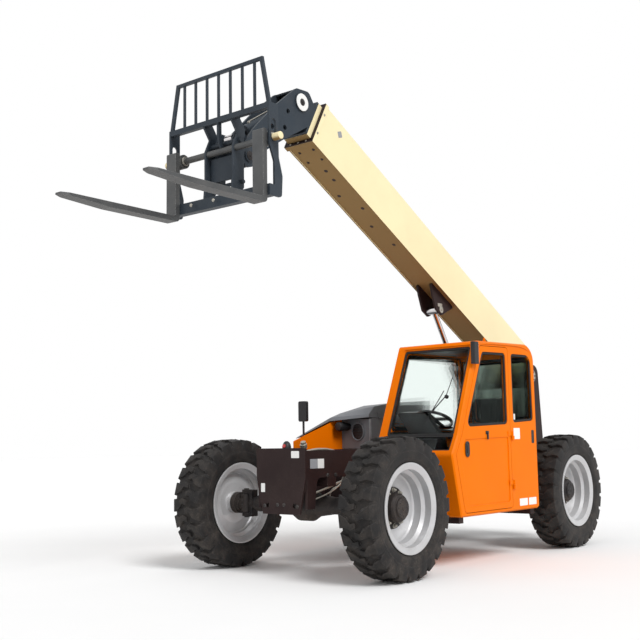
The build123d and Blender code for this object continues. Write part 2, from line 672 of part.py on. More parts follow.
def make_cylinder(name, base, end, barrel_end, barrel_radius, rod_radius, rod_tail, eye_radius, eye_half,
                  pin_radius):
    """A barrel with its bored eye, and a rod with its piston and eye, along the line between two pins."""
    plane = along_pins(base, end)
    along = plane.x_dir
    across = Plane(origin=plane.origin, x_dir=(0, 1, 0), z_dir=along)
    reach = pin_distance(base, end)
    barrel_start = eye_radius + 20
    bore_start = barrel_start + 20
    bore_radius = barrel_radius - barrel_wall
    base_eye = Plane(origin=plane.origin + Vector(0, eye_half, 0), x_dir=along, z_dir=(0, -1, 0))
    rod_eye = Plane(origin=base_eye.origin + along * reach, x_dir=along, z_dir=(0, -1, 0))
    with BuildPart() as barrel:
        extrude(disc(across.offset(barrel_start), (0, 0), barrel_radius), amount=barrel_end - barrel_start)
        extrude(disc(base_eye, (0, 0), eye_radius), amount=2 * eye_half)
        extrude(panel(base_eye, (barrel_start / 2, 0), barrel_start, 1.6 * eye_radius), amount=2 * eye_half)
        extrude(disc(base_eye, (0, 0), pin_radius + pin_gap), amount=2 * eye_half, mode=Mode.SUBTRACT)
        extrude(disc(across.offset(bore_start), (0, 0), bore_radius),
                amount=barrel_end - gland_length - bore_start, mode=Mode.SUBTRACT)
        extrude(disc(across.offset(barrel_end - gland_length - 5), (0, 0), rod_radius + pin_gap),
                amount=gland_length + 10, mode=Mode.SUBTRACT)
    save(barrel, f"{name}_barrel")
    with BuildPart() as rod:
        extrude(disc(across.offset(rod_tail), (0, 0), rod_radius), amount=reach - rod_tail)
        extrude(disc(across.offset(rod_tail), (0, 0), bore_radius - pin_gap), amount=piston_length)
        extrude(disc(rod_eye, (0, 0), eye_radius), amount=2 * eye_half)
    save(rod, f"{name}_rod")


make_cylinder("lift", lift_base_pin, lift_rod_pin, 1405, 68, 32, 778, 46, 70, 30)
make_cylinder("tilt", tilt_base_pin, tilt_rod_pin, 760, 50, 25, 420, 42, 45, 30)

# Carriage: coupler on the head pin, carriage frame with its backrest, shaft and two forks
coupler_ear = [(850, 3760), (860, 3900), (960, 4050), (1060, 4050), (1104, 3960), (1104, 3790), (1112, 3500),
               (1010, 3500), (985, 3700)]
coupler_pins = ((hook_pin, 25), (lock_pin, 18))
coupler_half = 215
ear_outer = 115
ear_thickness = 25

with BuildPart() as coupler:
    for left_y in (ear_outer, -ear_outer + ear_thickness):
        ear = pierced(side_at(left_y), coupler_ear, 30, [(head_pin, head_pin_radius + pin_gap)])
        extrude(ear, amount=ear_thickness)
    extrude(panel(front_at(1100), (0, 3690), 300, 220), amount=22)
    for centre, radius in coupler_pins:
        extrude(disc(side_at(coupler_half), centre, radius), amount=2 * coupler_half)
save(coupler, "coupler")

carriage_half = 635
back_top = 4590
bar_width = 26
bar_pitch = 149
rib_thickness = 20
rib_y = 175
rib = [(1190, 4150), (1100, 4150), (1022, 4040), (1040, 3950), (1040, 3500), (1115, 3400), (1115, 3340),
       (1190, 3340), (1190, 3430), (1175, 3600), (1175, 3870), (1120, 3990), (1190, 4090)]
middle_rib = [(1190, 4150), (1148, 4150), (1146, 3955), (1116, 3895), (1112, 3868), (1150, 3868), (1176, 3915),
              (1190, 3985)]
cheek_side = [(1078, 4155), (1196, 4155), (1196, 3790), (1132, 3640), (1132, 3330), (1040, 3330),
              (1028, 3520), (1075, 3680), (1078, 3830)]
side_radii = [8, 8, 60, 60, 20, 30, 80, 80, 80]


with BuildPart() as carriage_frame:
    for left_y in (carriage_half, -carriage_half + 20):
        with BuildSketch(side_at(left_y)) as plate:
            with BuildLine():
                FilletPolyline(*cheek_side, radius=side_radii, close=True)
            make_face()
            with Locations((1140, 3915)):
                SlotOverall(200, 62, rotation=90, mode=Mode.SUBTRACT)
        extrude(plate.sketch, amount=20)
    extrude(panel(side_at(carriage_half), (1172, 4130), 48, 50), amount=2 * carriage_half)
    extrude(panel(side_at(carriage_half), (1158, 3380), 74, 100), amount=2 * carriage_half)
    rib_holes = [(fork_shaft, shaft_radius), *coupler_pins]
    for middle_y in (rib_y, -rib_y):
        extrude(pierced(side_at(middle_y + rib_thickness / 2), rib, 12, rib_holes), amount=rib_thickness)
    extrude(pierced(side_at(rib_thickness / 2), middle_rib, 5, rib_holes[:1]), amount=rib_thickness)
    for column in range(-3, 4):
        bar = panel(front_at(1166), (column * bar_pitch, (4140 + back_top) / 2), bar_width, back_top - 4140)
        extrude(bar, amount=14)
    extrude(panel(front_at(1160), (0, back_top - 15), 1100, 30), amount=26)
    for side in (1, -1):
        slant = [(side * 635, 4140), (side * 600, 4140), (side * 515, back_top - 10),
                 (side * 550, back_top - 10)]
        extrude(outline(front_at(1160), slant), amount=26)
save(carriage_frame, "carriage_frame")

with BuildPart() as shaft:
    extrude(disc(side_at(shaft_half), fork_shaft, shaft_radius), amount=2 * shaft_half)
    extrude(disc(side_at(shaft_half + shaft_end), fork_shaft, shaft_end_radius),
            amount=2 * (shaft_half + shaft_end))
save(shaft, "fork_shaft")

fork_width = 125
fork_y = 548
for hand, side in (("left", 1), ("right", -1)):
    with BuildPart() as fork:
        blade = [(1200, 3915), (1200, 3262), (fork_tip_x - 500, 3262), (fork_tip_x, 3294),
                 (fork_tip_x, 3312), (1250, 3312), (1250, 3915)]
        left_y = side * fork_y + fork_width / 2
        extrude(rounded(side_at(left_y), blade, [15, 40, 200, 4, 4, 20, 15]), amount=fork_width)
        middle = side * fork_y
        plan = [(1000, middle - 70), (fork_tip_x - 90, middle - 70), (fork_tip_x, middle - 32),
                (fork_tip_x, middle + 32), (fork_tip_x - 90, middle + 70), (1000, middle + 70)]
        extrude(outline(top_at(3200), plan), amount=800, mode=Mode.INTERSECT)
        extrude(disc(side_at(left_y), fork_shaft, 66), amount=fork_width)
        extrude(disc(side_at(left_y), fork_shaft, shaft_radius), amount=fork_width, mode=Mode.SUBTRACT)
    save(fork, f"fork_{hand}")
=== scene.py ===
import bmesh
import bpy
import json
import math
from mathutils import Euler, Matrix, Vector


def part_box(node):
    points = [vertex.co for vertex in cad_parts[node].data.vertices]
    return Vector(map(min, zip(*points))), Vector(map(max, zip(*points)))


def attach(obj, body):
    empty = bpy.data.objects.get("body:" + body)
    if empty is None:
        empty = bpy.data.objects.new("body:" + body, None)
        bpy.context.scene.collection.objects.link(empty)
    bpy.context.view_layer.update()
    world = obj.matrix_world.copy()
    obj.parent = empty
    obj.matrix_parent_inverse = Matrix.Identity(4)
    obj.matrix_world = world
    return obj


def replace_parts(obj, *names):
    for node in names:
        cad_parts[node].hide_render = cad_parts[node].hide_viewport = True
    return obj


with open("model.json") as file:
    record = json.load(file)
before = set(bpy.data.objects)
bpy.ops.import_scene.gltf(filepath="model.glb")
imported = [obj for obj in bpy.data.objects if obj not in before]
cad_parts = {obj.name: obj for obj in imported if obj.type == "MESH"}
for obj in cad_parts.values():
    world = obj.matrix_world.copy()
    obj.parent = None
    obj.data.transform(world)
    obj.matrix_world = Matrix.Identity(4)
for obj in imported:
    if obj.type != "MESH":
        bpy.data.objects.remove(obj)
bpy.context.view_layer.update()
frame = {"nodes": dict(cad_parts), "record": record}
nodes = frame["nodes"]
print("frame loaded:", len(nodes), "nodes")


def middle(node):
    low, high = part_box(node)
    return (Vector(low) + Vector(high)) / 2


# stations count from the front axle, as the machine is measured
frontAxleX = middle("rim_front_left").x
wheelCentres = {}
for end in ("front", "rear"):
    for hand in ("left", "right"):
        wheelCentres[f"{end}_{hand}"] = middle(f"rim_{end}_{hand}")


def at(x, y, z):
    return Vector((frontAxleX + x, y, z))


def deselectAll():
    if bpy.context.object and bpy.context.object.mode != "OBJECT":
        bpy.ops.object.mode_set(mode="OBJECT")
    bpy.ops.object.select_all(action="DESELECT")


def chosen(obj):
    deselectAll()
    bpy.context.view_layer.objects.active = obj
    obj.select_set(True)


def editing(obj):
    chosen(obj)
    bpy.ops.object.mode_set(mode="EDIT")


def objectMode():
    bpy.ops.object.mode_set(mode="OBJECT")


def pick(kind, test):
    mesh = bmesh.from_edit_mesh(bpy.context.object.data)
    bpy.ops.mesh.select_all(action="DESELECT")
    bpy.ops.mesh.select_mode(type={"verts": "VERT", "edges": "EDGE", "faces": "FACE"}[kind])
    for item in getattr(mesh, kind):
        item.select_set(bool(test(item)))
    mesh.select_flush_mode()
    bmesh.update_edit_mesh(bpy.context.object.data)


def applied(obj, kind, **values):
    chosen(obj)
    modifier = obj.modifiers.new(kind.title(), kind)
    for name, value in values.items():
        setattr(modifier, name, value)
    bpy.ops.object.modifier_apply(modifier=modifier.name)


def settled(obj):
    chosen(obj)
    bpy.ops.object.transform_apply(location=True, rotation=True, scale=True)


def finished(obj, body, material, smoothAngle=35):
    settled(obj)
    bpy.ops.object.shade_smooth_by_angle(angle=math.radians(smoothAngle))
    obj.data.materials.clear()
    obj.data.materials.append(material)
    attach(obj, body)
    return obj


def joined(pieces, name):
    deselectAll()
    for piece in pieces:
        piece.select_set(True)
    bpy.context.view_layer.objects.active = pieces[0]
    if len(pieces) > 1:
        bpy.ops.object.join()
    pieces[0].name = name
    return pieces[0]


def linked(obj):
    bpy.context.scene.collection.objects.link(obj)
    return obj


def copied(source, matrix, name):
    twin = source.copy()
    twin.data = source.data.copy()
    twin.data.transform(matrix)
    if matrix.determinant() < 0:
        twin.data.flip_normals()
    twin.name = name
    return linked(twin)


def deleted(obj):
    deselectAll()
    obj.select_set(True)
    bpy.ops.object.delete()


# a bevel on the sharp edges
def edged(obj, width, segments=2, **values):
    applied(obj, "BEVEL", width=width, segments=segments, limit_method="ANGLE", **values)
    return obj


def block(low, high, bevel=0.004, segments=2):
    low, high = Vector(low), Vector(high)
    deselectAll()
    bpy.ops.mesh.primitive_cube_add(size=1, location=(low + high) / 2, scale=high - low)
    obj = bpy.context.object
    settled(obj)
    return edged(obj, bevel, segments) if bevel > 0 else obj


# a turned piece: a ring drawn through (height, radius) stations and closed at both ends
def turned(centre, axis, profile, vertices=48, hollow=False):
    deselectAll()
    bpy.ops.mesh.primitive_circle_add(vertices=vertices, radius=profile[0][1], fill_type="NOTHING")
    obj = bpy.context.object
    editing(obj)
    bpy.ops.mesh.select_all(action="SELECT")
    bpy.ops.transform.translate(value=(0, 0, profile[0][0]))
    if not hollow:
        bpy.ops.mesh.edge_face_add()
        pick("edges", lambda edge: True)
    for (height, radius), (nextHeight, nextRadius) in zip(profile, profile[1:]):
        bpy.ops.mesh.extrude_edges_move(TRANSFORM_OT_translate={"value": (0, 0, nextHeight - height)})
        grow = nextRadius / radius
        bpy.ops.transform.resize(value=(grow, grow, 1), center_override=(0, 0, nextHeight))
    if hollow:
        bpy.ops.mesh.select_all(action="SELECT")
        bpy.ops.mesh.remove_doubles(threshold=0.00005)
    else:
        bpy.ops.mesh.edge_face_add()
    bpy.ops.mesh.select_all(action="SELECT")
    bpy.ops.mesh.normals_make_consistent(inside=False)
    objectMode()
    obj.rotation_mode = "QUATERNION"
    obj.rotation_quaternion = Vector((0, 0, 1)).rotation_difference(Vector(axis))
    obj.location = centre
    settled(obj)
    return obj


# a flat outline drawn vertex by vertex, filled, its corners rounded, then pushed out along a direction
def plate(points, push, corner=0.0, bevel=0.0, border=None, segments=4):
    points = [Vector(point) for point in points]
    deselectAll()
    bpy.ops.mesh.primitive_plane_add(size=0.01, location=points[0])
    obj = bpy.context.object
    settled(obj)
    editing(obj)
    bpy.ops.mesh.select_mode(type="VERT")
    bpy.ops.mesh.select_all(action="SELECT")
    bpy.ops.mesh.merge(type="CENTER")
    for point, following in zip(points, points[1:]):
        bpy.ops.mesh.extrude_vertices_move(TRANSFORM_OT_translate={"value": following - point})
    bpy.ops.mesh.select_all(action="SELECT")
    bpy.ops.mesh.edge_face_add()
    if corner > 0:
        bpy.ops.mesh.select_all(action="SELECT")
        bpy.ops.mesh.bevel(offset=corner, segments=segments, affect="VERTICES", clamp_overlap=True)
    if border is not None:
        pick("faces", lambda face: True)
        bpy.ops.mesh.inset(thickness=border, use_boundary=True)
        bpy.ops.mesh.delete(type="FACE")
    pick("faces", lambda face: True)
    bpy.ops.mesh.extrude_region_move(TRANSFORM_OT_translate={"value": Vector(push)})
    bpy.ops.mesh.select_all(action="SELECT")
    bpy.ops.mesh.normals_make_consistent(inside=False)
    objectMode()
    return edged(obj, bevel, angle_limit=math.radians(40)) if bevel > 0 else obj


# a pipe or clamped hose along a smooth line of points
def pipe(points, radius):
    deselectAll()
    line = bpy.data.curves.new("line", "CURVE")
    line.dimensions = "3D"
    line.bevel_depth = radius
    line.bevel_resolution = 4
    line.resolution_u = 8
    spline = line.splines.new("NURBS")
    spline.points.add(len(points) - 1)
    for knot, point in zip(spline.points, points):
        knot.co = (*point, 1)
    spline.order_u = 3
    spline.use_endpoint_u = True
    line.use_fill_caps = True
    obj = linked(bpy.data.objects.new("line", line))
    obj.select_set(True)
    bpy.context.view_layer.objects.active = obj
    bpy.ops.object.convert(target="MESH")
    return bpy.context.object


def newGroup(name, inputs, outputs):
    tree = bpy.data.node_groups.new(name, "ShaderNodeTree")
    for label, value in inputs.items():
        kind = "NodeSocketColor" if isinstance(value, tuple) else "NodeSocketFloat"
        socket = tree.interface.new_socket(name=label, in_out="INPUT", socket_type=kind)
        socket.default_value = value
    for label in outputs:
        kind = "NodeSocketColor" if label == "Colour" else "NodeSocketFloat"
        tree.interface.new_socket(name=label, in_out="OUTPUT", socket_type=kind)
    return tree, tree.nodes.new("NodeGroupInput"), tree.nodes.new("NodeGroupOutput")


def node(tree, kind, **values):
    made = tree.nodes.new(kind)
    for name, value in values.items():
        setattr(made, name, value)
    return made


def mathNode(tree, operation, first, second=None, clamp=False):
    made = node(tree, "ShaderNodeMath", operation=operation, use_clamp=clamp)
    for socket, value in zip(made.inputs, (first, second)):
        if value is None:
            continue
        if isinstance(value, (int, float)):
            socket.default_value = value
        else:
            tree.links.new(value, socket)
    return made.outputs[0]


def product(tree, first, *others, clamp=False):
    for value in others:
        first = mathNode(tree, "MULTIPLY", first, value, clamp)
    return first


def rangeNode(tree, value, low, high, toLow=0.0, toHigh=1.0):
    made = node(tree, "ShaderNodeMapRange")
    tree.links.new(value, made.inputs["Value"])
    for label, number in (("From Min", low), ("From Max", high), ("To Min", toLow), ("To Max", toHigh)):
        made.inputs[label].default_value = number
    return made.outputs["Result"]


def mixColour(tree, factor, first, second):
    made = node(tree, "ShaderNodeMix", data_type="RGBA")
    tree.links.new(factor, made.inputs[0])
    for socket, value in ((made.inputs[6], first), (made.inputs[7], second)):
        if isinstance(value, tuple):
            socket.default_value = (*value, 1)
        else:
            tree.links.new(value, socket)
    return made.outputs[2]


def noiseNode(tree, scale, detail=4.0, roughness=0.55):
    place = node(tree, "ShaderNodeTexCoord")
    made = node(tree, "ShaderNodeTexNoise")
    tree.links.new(place.outputs["Object"], made.inputs["Vector"])
    if isinstance(scale, (int, float)):
        made.inputs["Scale"].default_value = scale
    else:
        tree.links.new(scale, made.inputs["Scale"])
    made.inputs["Detail"].default_value = detail
    made.inputs["Roughness"].default_value = roughness
    return made.outputs["Fac"]


# dirt lies in patches and thicker low down; faces that look at the ground are mixed towards the dirt colour
# as well, which paints underside shade on the cream boom
def buildRoadDirt():
    tree, given, result = newGroup("roadDirt", {
        "Colour": (0.5, 0.5, 0.5, 1),
        "Dirt": (0.2, 0.17, 0.13, 1),
        "Patches": 0.2,
        "Low": 0.3,
        "Underside": 0.2,
        "Scale": 3.0,
    }, ["Colour", "Mask"])
    place = node(tree, "ShaderNodeTexCoord")
    split = node(tree, "ShaderNodeSeparateXYZ")
    tree.links.new(place.outputs["Object"], split.inputs[0])
    facing = node(tree, "ShaderNodeSeparateXYZ")
    surface = node(tree, "ShaderNodeNewGeometry")
    tree.links.new(surface.outputs["Normal"], facing.inputs[0])
    patches = rangeNode(tree, noiseNode(tree, given.outputs["Scale"], 6.0, 0.62), 0.42, 0.72)
    specks = rangeNode(tree, noiseNode(tree, 60.0, 3.0), 0.5, 0.75, 0.4, 1.0)
    height = rangeNode(tree, split.outputs["Z"], 1.3, 0.2)
    # faces that look down take the dirt colour; on the cream boom this is painted underside shade
    undersideDirtShadeMask = rangeNode(tree, facing.outputs["Z"], -0.25, -0.75)
    patches = product(tree, patches, specks, given.outputs["Patches"])
    low = product(tree, height, patches, given.outputs["Low"], 8.0)
    undersideDirtShadeMask = product(tree, undersideDirtShadeMask, given.outputs["Underside"])
    mask = mathNode(tree, "ADD", mathNode(tree, "ADD", patches, low), undersideDirtShadeMask, clamp=True)
    mixed = mixColour(tree, mask, given.outputs["Colour"], given.outputs["Dirt"])
    tree.links.new(mixed, result.inputs["Colour"])
    tree.links.new(mask, result.inputs["Mask"])
    return tree


# paint rubbed through along sharp edges, found by comparing a rounded normal with the flat one
def buildRubbedEdges():
    tree, given, result = newGroup("rubbedEdges", {
        "Colour": (0.5, 0.5, 0.5, 1),
        "Bare": (0.4, 0.4, 0.4, 1),
        "Wear": 0.5,
        "Width": 0.004,
    }, ["Colour", "Mask"])
    rounded = node(tree, "ShaderNodeBevel", samples=4)
    tree.links.new(given.outputs["Width"], rounded.inputs["Radius"])
    surface = node(tree, "ShaderNodeNewGeometry")
    compare = node(tree, "ShaderNodeVectorMath", operation="DOT_PRODUCT")
    tree.links.new(rounded.outputs[0], compare.inputs[0])
    tree.links.new(surface.outputs["True Normal"], compare.inputs[1])
    edge = rangeNode(tree, compare.outputs["Value"], 0.985, 0.85)
    broken = rangeNode(tree, noiseNode(tree, 26.0, 6.0, 0.7), 0.42, 0.62)
    mask = product(tree, edge, broken, given.outputs["Wear"], clamp=True)
    mixed = mixColour(tree, mask, given.outputs["Colour"], given.outputs["Bare"])
    tree.links.new(mixed, result.inputs["Colour"])
    tree.links.new(mask, result.inputs["Mask"])
    return tree


# slow changes of tone, as in paint that has faded or rubber that has been scuffed
def buildToneDrift():
    tree, given, result = newGroup("toneDrift", {
        "Colour": (0.5, 0.5, 0.5, 1),
        "Amount": 0.08,
        "Scale": 1.6,
    }, ["Colour"])
    drift = rangeNode(tree, noiseNode(tree, given.outputs["Scale"], 3.0), 0.3, 0.7, -1.0, 1.0)
    drift = product(tree, drift, given.outputs["Amount"])
    tone = node(tree, "ShaderNodeHueSaturation")
    tree.links.new(given.outputs["Colour"], tone.inputs["Color"])
    tree.links.new(mathNode(tree, "ADD", drift, 1.0), tone.inputs["Value"])
    tree.links.new(tone.outputs["Color"], result.inputs["Colour"])
    return tree


# height of the fine texture: orange peel, cast skin or moulded stipple, by scale
def buildFineGrain():
    tree, given, result = newGroup("fineGrain", {
        "Scale": 300.0,
        "Pits": 0.3,
    }, ["Height"])
    skin = noiseNode(tree, given.outputs["Scale"], 2.0)
    place = node(tree, "ShaderNodeTexCoord")
    cells = node(tree, "ShaderNodeTexVoronoi", feature="SMOOTH_F1")
    tree.links.new(place.outputs["Object"], cells.inputs["Vector"])
    tree.links.new(given.outputs["Scale"], cells.inputs["Scale"])
    pits = product(tree, cells.outputs["Distance"], given.outputs["Pits"])
    tree.links.new(mathNode(tree, "ADD", skin, pits), result.inputs["Height"])
    return tree


groups = {
    "dirtAndShade": buildRoadDirt(),
    "edges": buildRubbedEdges(),
    "tone": buildToneDrift(),
    "grain": buildFineGrain(),
}
print("shader groups ready")


def placedGroup(tree, group, colour=None, **values):
    made = node(tree, "ShaderNodeGroup", node_tree=groups[group])
    for label, value in values.items():
        made.inputs[label].default_value = (*value, 1) if isinstance(value, tuple) else value
    if isinstance(colour, tuple):
        made.inputs["Colour"].default_value = (*colour, 1)
    elif colour is not None:
        tree.links.new(colour, made.inputs["Colour"])
    return made


def newMaterial(name):
    material = bpy.data.materials.new(name)
    material.use_nodes = True
    return material, material.node_tree, material.node_tree.nodes["Principled BSDF"]


def setSockets(made, values):
    for label, value in values.items():
        made.inputs[label].default_value = value


def bumped(tree, shader, height, strength, distance, normal=None):
    bump = node(tree, "ShaderNodeBump")
    setSockets(bump, {"Strength": strength, "Distance": distance})
    tree.links.new(height, bump.inputs["Height"])
    if normal is not None:
        tree.links.new(normal, bump.inputs["Normal"])
    tree.links.new(bump.outputs[0], shader.inputs["Normal"])


# painted, cast, moulded and rubber skins share one recipe with their own values
def skin(name, look):
    material, tree, shader = newMaterial(name)
    toned = placedGroup(tree, "tone", look["colour"], Amount=look["tone"], Scale=look["toneScale"])
    # dirt in patches and low down, and the underside term that paints shade on the cream boom
    dirtAndShadeNode = placedGroup(tree, "dirtAndShade", toned.outputs["Colour"], Dirt=look["dirtAndShade"], Patches=look["patches"],
                        Low=look["low"], Underside=look["downFacingDirtAndShade"], Scale=look["dirtScale"])
    rubbed = placedGroup(tree, "edges", dirtAndShadeNode.outputs["Colour"], Bare=look["bare"], Wear=look["wear"],
                         Width=look["edge"])
    tree.links.new(rubbed.outputs["Colour"], shader.inputs["Base Color"])
    low, high = look["roughness"]
    tree.links.new(rangeNode(tree, dirtAndShadeNode.outputs["Mask"], 0.0, 1.0, low, high), shader.inputs["Roughness"])
    setSockets(shader, {"Metallic": look["metallic"], "Coat Weight": look["coat"], "Coat Roughness": 0.12,
                        "Specular IOR Level": look["specular"]})
    grain = placedGroup(tree, "grain", Scale=look["grain"], Pits=look["pits"])
    soft = node(tree, "ShaderNodeBevel", samples=4)
    soft.inputs["Radius"].default_value = look["soften"]
    bumped(tree, shader, grain.outputs["Height"], look["depth"], 0.002, soft.outputs[0])
    return material


# what a look leaves out is taken from here
commonLook = dict(tone=0.1, toneScale=1.6, patches=0.2, low=0.1, downFacingDirtAndShade=0.1, dirtScale=3.0, wear=0.4,
                  edge=0.004, metallic=0.0, coat=0.0, specular=0.3, pits=0.3, soften=0.003)
looks = {
    "orangePaint": dict(
        colour=(0.85, 0.176, 0.0), tone=0.04, dirtAndShade=(0.42, 0.16, 0.03), patches=0.07, low=0.2,
        downFacingDirtAndShade=0.25, bare=(0.95, 0.36, 0.05), wear=0.3, roughness=(0.34, 0.62), specular=0.05,
        grain=420.0, depth=0.03),
    # cream paint: its tan dirt colour at full underside weight paints shade on the boom's downward faces; the
    # patches are dirt
    "creamPaint": dict(
        colour=(0.88, 0.76, 0.47), tone=0.04, dirtAndShade=(0.27, 0.165, 0.06), patches=0.06, low=0.0,
        downFacingDirtAndShade=1.0, bare=(0.55, 0.42, 0.25), wear=0.3, roughness=(0.4, 0.7), specular=0.25, coat=0.03,
        grain=420.0, depth=0.03),
    "chassisPaint": dict(
        colour=(0.022, 0.0115, 0.0115), tone=0.12, dirtAndShade=(0.13, 0.10, 0.085), patches=0.12, low=0.2,
        downFacingDirtAndShade=0.15, bare=(0.16, 0.13, 0.12), wear=0.5, edge=0.005, roughness=(0.48, 0.8), specular=0.14,
        grain=260.0, depth=0.06),
    "slatePaint": dict(
        colour=(0.026, 0.036, 0.048), tone=0.12, dirtAndShade=(0.16, 0.15, 0.14), low=0.0, bare=(0.20, 0.22, 0.24),
        wear=0.45, roughness=(0.44, 0.75), specular=0.2, grain=260.0, depth=0.06),
    "axleIron": dict(
        colour=(0.018, 0.016, 0.017), tone=0.2, dirtAndShade=(0.13, 0.10, 0.08), patches=0.35, low=0.25,
        downFacingDirtAndShade=0.2, bare=(0.2, 0.2, 0.2), wear=0.5, edge=0.006, roughness=(0.5, 0.85), metallic=0.2,
        grain=180.0, depth=0.2, pits=0.8, soften=0.006),
    "engineIron": dict(
        colour=(0.05, 0.05, 0.05), tone=0.2, dirtAndShade=(0.24, 0.19, 0.14), patches=0.4, low=0.2, downFacingDirtAndShade=0.2,
        bare=(0.25, 0.25, 0.25), edge=0.006, roughness=(0.5, 0.85), metallic=0.3, grain=180.0, depth=0.25,
        pits=0.8),
    "greyPlastic": dict(
        colour=(0.165, 0.174, 0.190), tone=0.08, dirtAndShade=(0.28, 0.26, 0.24), bare=(0.26, 0.27, 0.29),
        edge=0.005, roughness=(0.48, 0.75), grain=700.0, depth=0.18, pits=0.9, soften=0.006),
    "blackPlastic": dict(
        colour=(0.016, 0.016, 0.018), dirtAndShade=(0.12, 0.11, 0.1), patches=0.15, bare=(0.08, 0.08, 0.085),
        roughness=(0.42, 0.75), grain=700.0, depth=0.15, pits=0.9),
    "rubberSeal": dict(
        colour=(0.012, 0.012, 0.013), dirtAndShade=(0.1, 0.09, 0.08), downFacingDirtAndShade=0.0, bare=(0.05, 0.05, 0.05),
        wear=0.3, edge=0.003, roughness=(0.6, 0.85), grain=500.0, depth=0.08),
    "tyreRubber": dict(
        colour=(0.0165, 0.0155, 0.0155), tone=0.15, toneScale=5.0, dirtAndShade=(0.12, 0.10, 0.085), patches=0.35,
        low=0.2, downFacingDirtAndShade=0.05, dirtScale=7.0, bare=(0.13, 0.12, 0.115), wear=0.5, edge=0.007,
        roughness=(0.62, 0.92), specular=0.2, grain=220.0, depth=0.25, pits=0.6, soften=0.004),
    "silverPaint": dict(
        colour=(0.56, 0.56, 0.57), tone=0.06, dirtAndShade=(0.2, 0.17, 0.14), patches=0.28, low=0.12,
        downFacingDirtAndShade=0.05, bare=(0.7, 0.7, 0.7), wear=0.3, roughness=(0.3, 0.65), metallic=0.35, grain=380.0,
        depth=0.05),
    "forkSteel": dict(
        colour=(0.095, 0.098, 0.10), tone=0.14, toneScale=6.0, dirtAndShade=(0.10, 0.08, 0.06), patches=0.4,
        low=0.0, downFacingDirtAndShade=0.15, bare=(0.42, 0.42, 0.42), wear=0.6, edge=0.006, roughness=(0.42, 0.7),
        metallic=0.55, grain=160.0, depth=0.18, pits=0.4),
    "bareSteel": dict(
        colour=(0.42, 0.40, 0.35), tone=0.12, toneScale=9.0, dirtAndShade=(0.16, 0.12, 0.08), patches=0.4,
        bare=(0.6, 0.6, 0.58), edge=0.003, roughness=(0.3, 0.6), metallic=0.75, grain=300.0, depth=0.05),
    "palePlastic": dict(
        colour=(0.30, 0.31, 0.33), tone=0.06, dirtAndShade=(0.2, 0.19, 0.17), patches=0.15, bare=(0.5, 0.5, 0.5),
        wear=0.3, edge=0.003, roughness=(0.45, 0.7), grain=500.0, depth=0.05),
    "whitePaint": dict(
        colour=(0.82, 0.82, 0.80), tone=0.04, dirtAndShade=(0.4, 0.36, 0.3), patches=0.15, low=0.0,
        bare=(0.5, 0.5, 0.5), wear=0.2, edge=0.002, roughness=(0.4, 0.7), grain=400.0, depth=0.02),
}
materials = {name: skin(name, commonLook | look) for name, look in looks.items()}


# a plain base colour under dirt, with the roughness going from clean to dirty
def dirtied(tree, shader, colour, clean, rough, dirtAndShade, patches, low, downFacingDirtAndShade, scale, fullAt=1.0):
    dirtAndShadeNode = placedGroup(tree, "dirtAndShade", colour, Dirt=dirtAndShade, Patches=patches, Low=low, Underside=downFacingDirtAndShade,
                        Scale=scale)
    tree.links.new(dirtAndShadeNode.outputs["Colour"], shader.inputs["Base Color"])
    tree.links.new(rangeNode(tree, dirtAndShadeNode.outputs["Mask"], 0.0, fullAt, clean, rough),
                   shader.inputs["Roughness"])
    return dirtAndShadeNode.outputs["Mask"]


# hard chrome with a thin oil film that varies along the rod
def chromeMaterial():
    material, tree, shader = newMaterial("hardChrome")
    toned = placedGroup(tree, "tone", (0.62, 0.6, 0.6), Amount=0.12, Scale=8.0)
    dirtied(tree, shader, toned.outputs["Colour"], 0.12, 0.4, (0.15, 0.12, 0.09), 0.2, 0.0, 0.05, 12.0, 0.5)
    shader.inputs["Metallic"].default_value = 1.0
    return material


# green tinted safety glass, dusty in patches; the darker, less clear panes paint the shade of the cab inside
# seen through them
def glassMaterial(name, colour, clear, dusty):
    material, tree, shader = newMaterial(name)
    mask = dirtied(tree, shader, colour, 0.02, 0.2, (0.72, 0.76, 0.72), 0.12, 0.1, 0.0, 2.5)
    setSockets(shader, {"Metallic": 0.0, "Transmission Weight": 1.0, "IOR": 1.05})
    tree.links.new(rangeNode(tree, mask, 0.0, 1.0, clear, dusty), shader.inputs["Alpha"])
    return material


def mirrorMaterial():
    material, tree, shader = newMaterial("mirrorSilver")
    dirtied(tree, shader, (0.75, 0.78, 0.8), 0.04, 0.3, (0.4, 0.4, 0.38), 0.2, 0.0, 0.0, 14.0)
    shader.inputs["Metallic"].default_value = 1.0
    return material


# fine bands across a lamp's lens, or threads in the seat cloth
def bands(tree, direction, scale):
    place = node(tree, "ShaderNodeTexCoord")
    wave = node(tree, "ShaderNodeTexWave", wave_type="BANDS", bands_direction=direction)
    wave.inputs["Scale"].default_value = scale
    tree.links.new(place.outputs["Object"], wave.inputs["Vector"])
    return wave.outputs["Fac"]


def lensMaterial(name, colour):
    material, tree, shader = newMaterial(name)
    ribs = bands(tree, "Z", 45.0)
    toned = placedGroup(tree, "tone", colour, Amount=0.1, Scale=20.0)
    tree.links.new(toned.outputs["Colour"], shader.inputs["Base Color"])
    tree.links.new(rangeNode(tree, ribs, 0.0, 1.0, 0.08, 0.22), shader.inputs["Roughness"])
    bumped(tree, shader, ribs, 0.5, 0.002)
    shader.inputs["Coat Weight"].default_value = 0.6
    return material


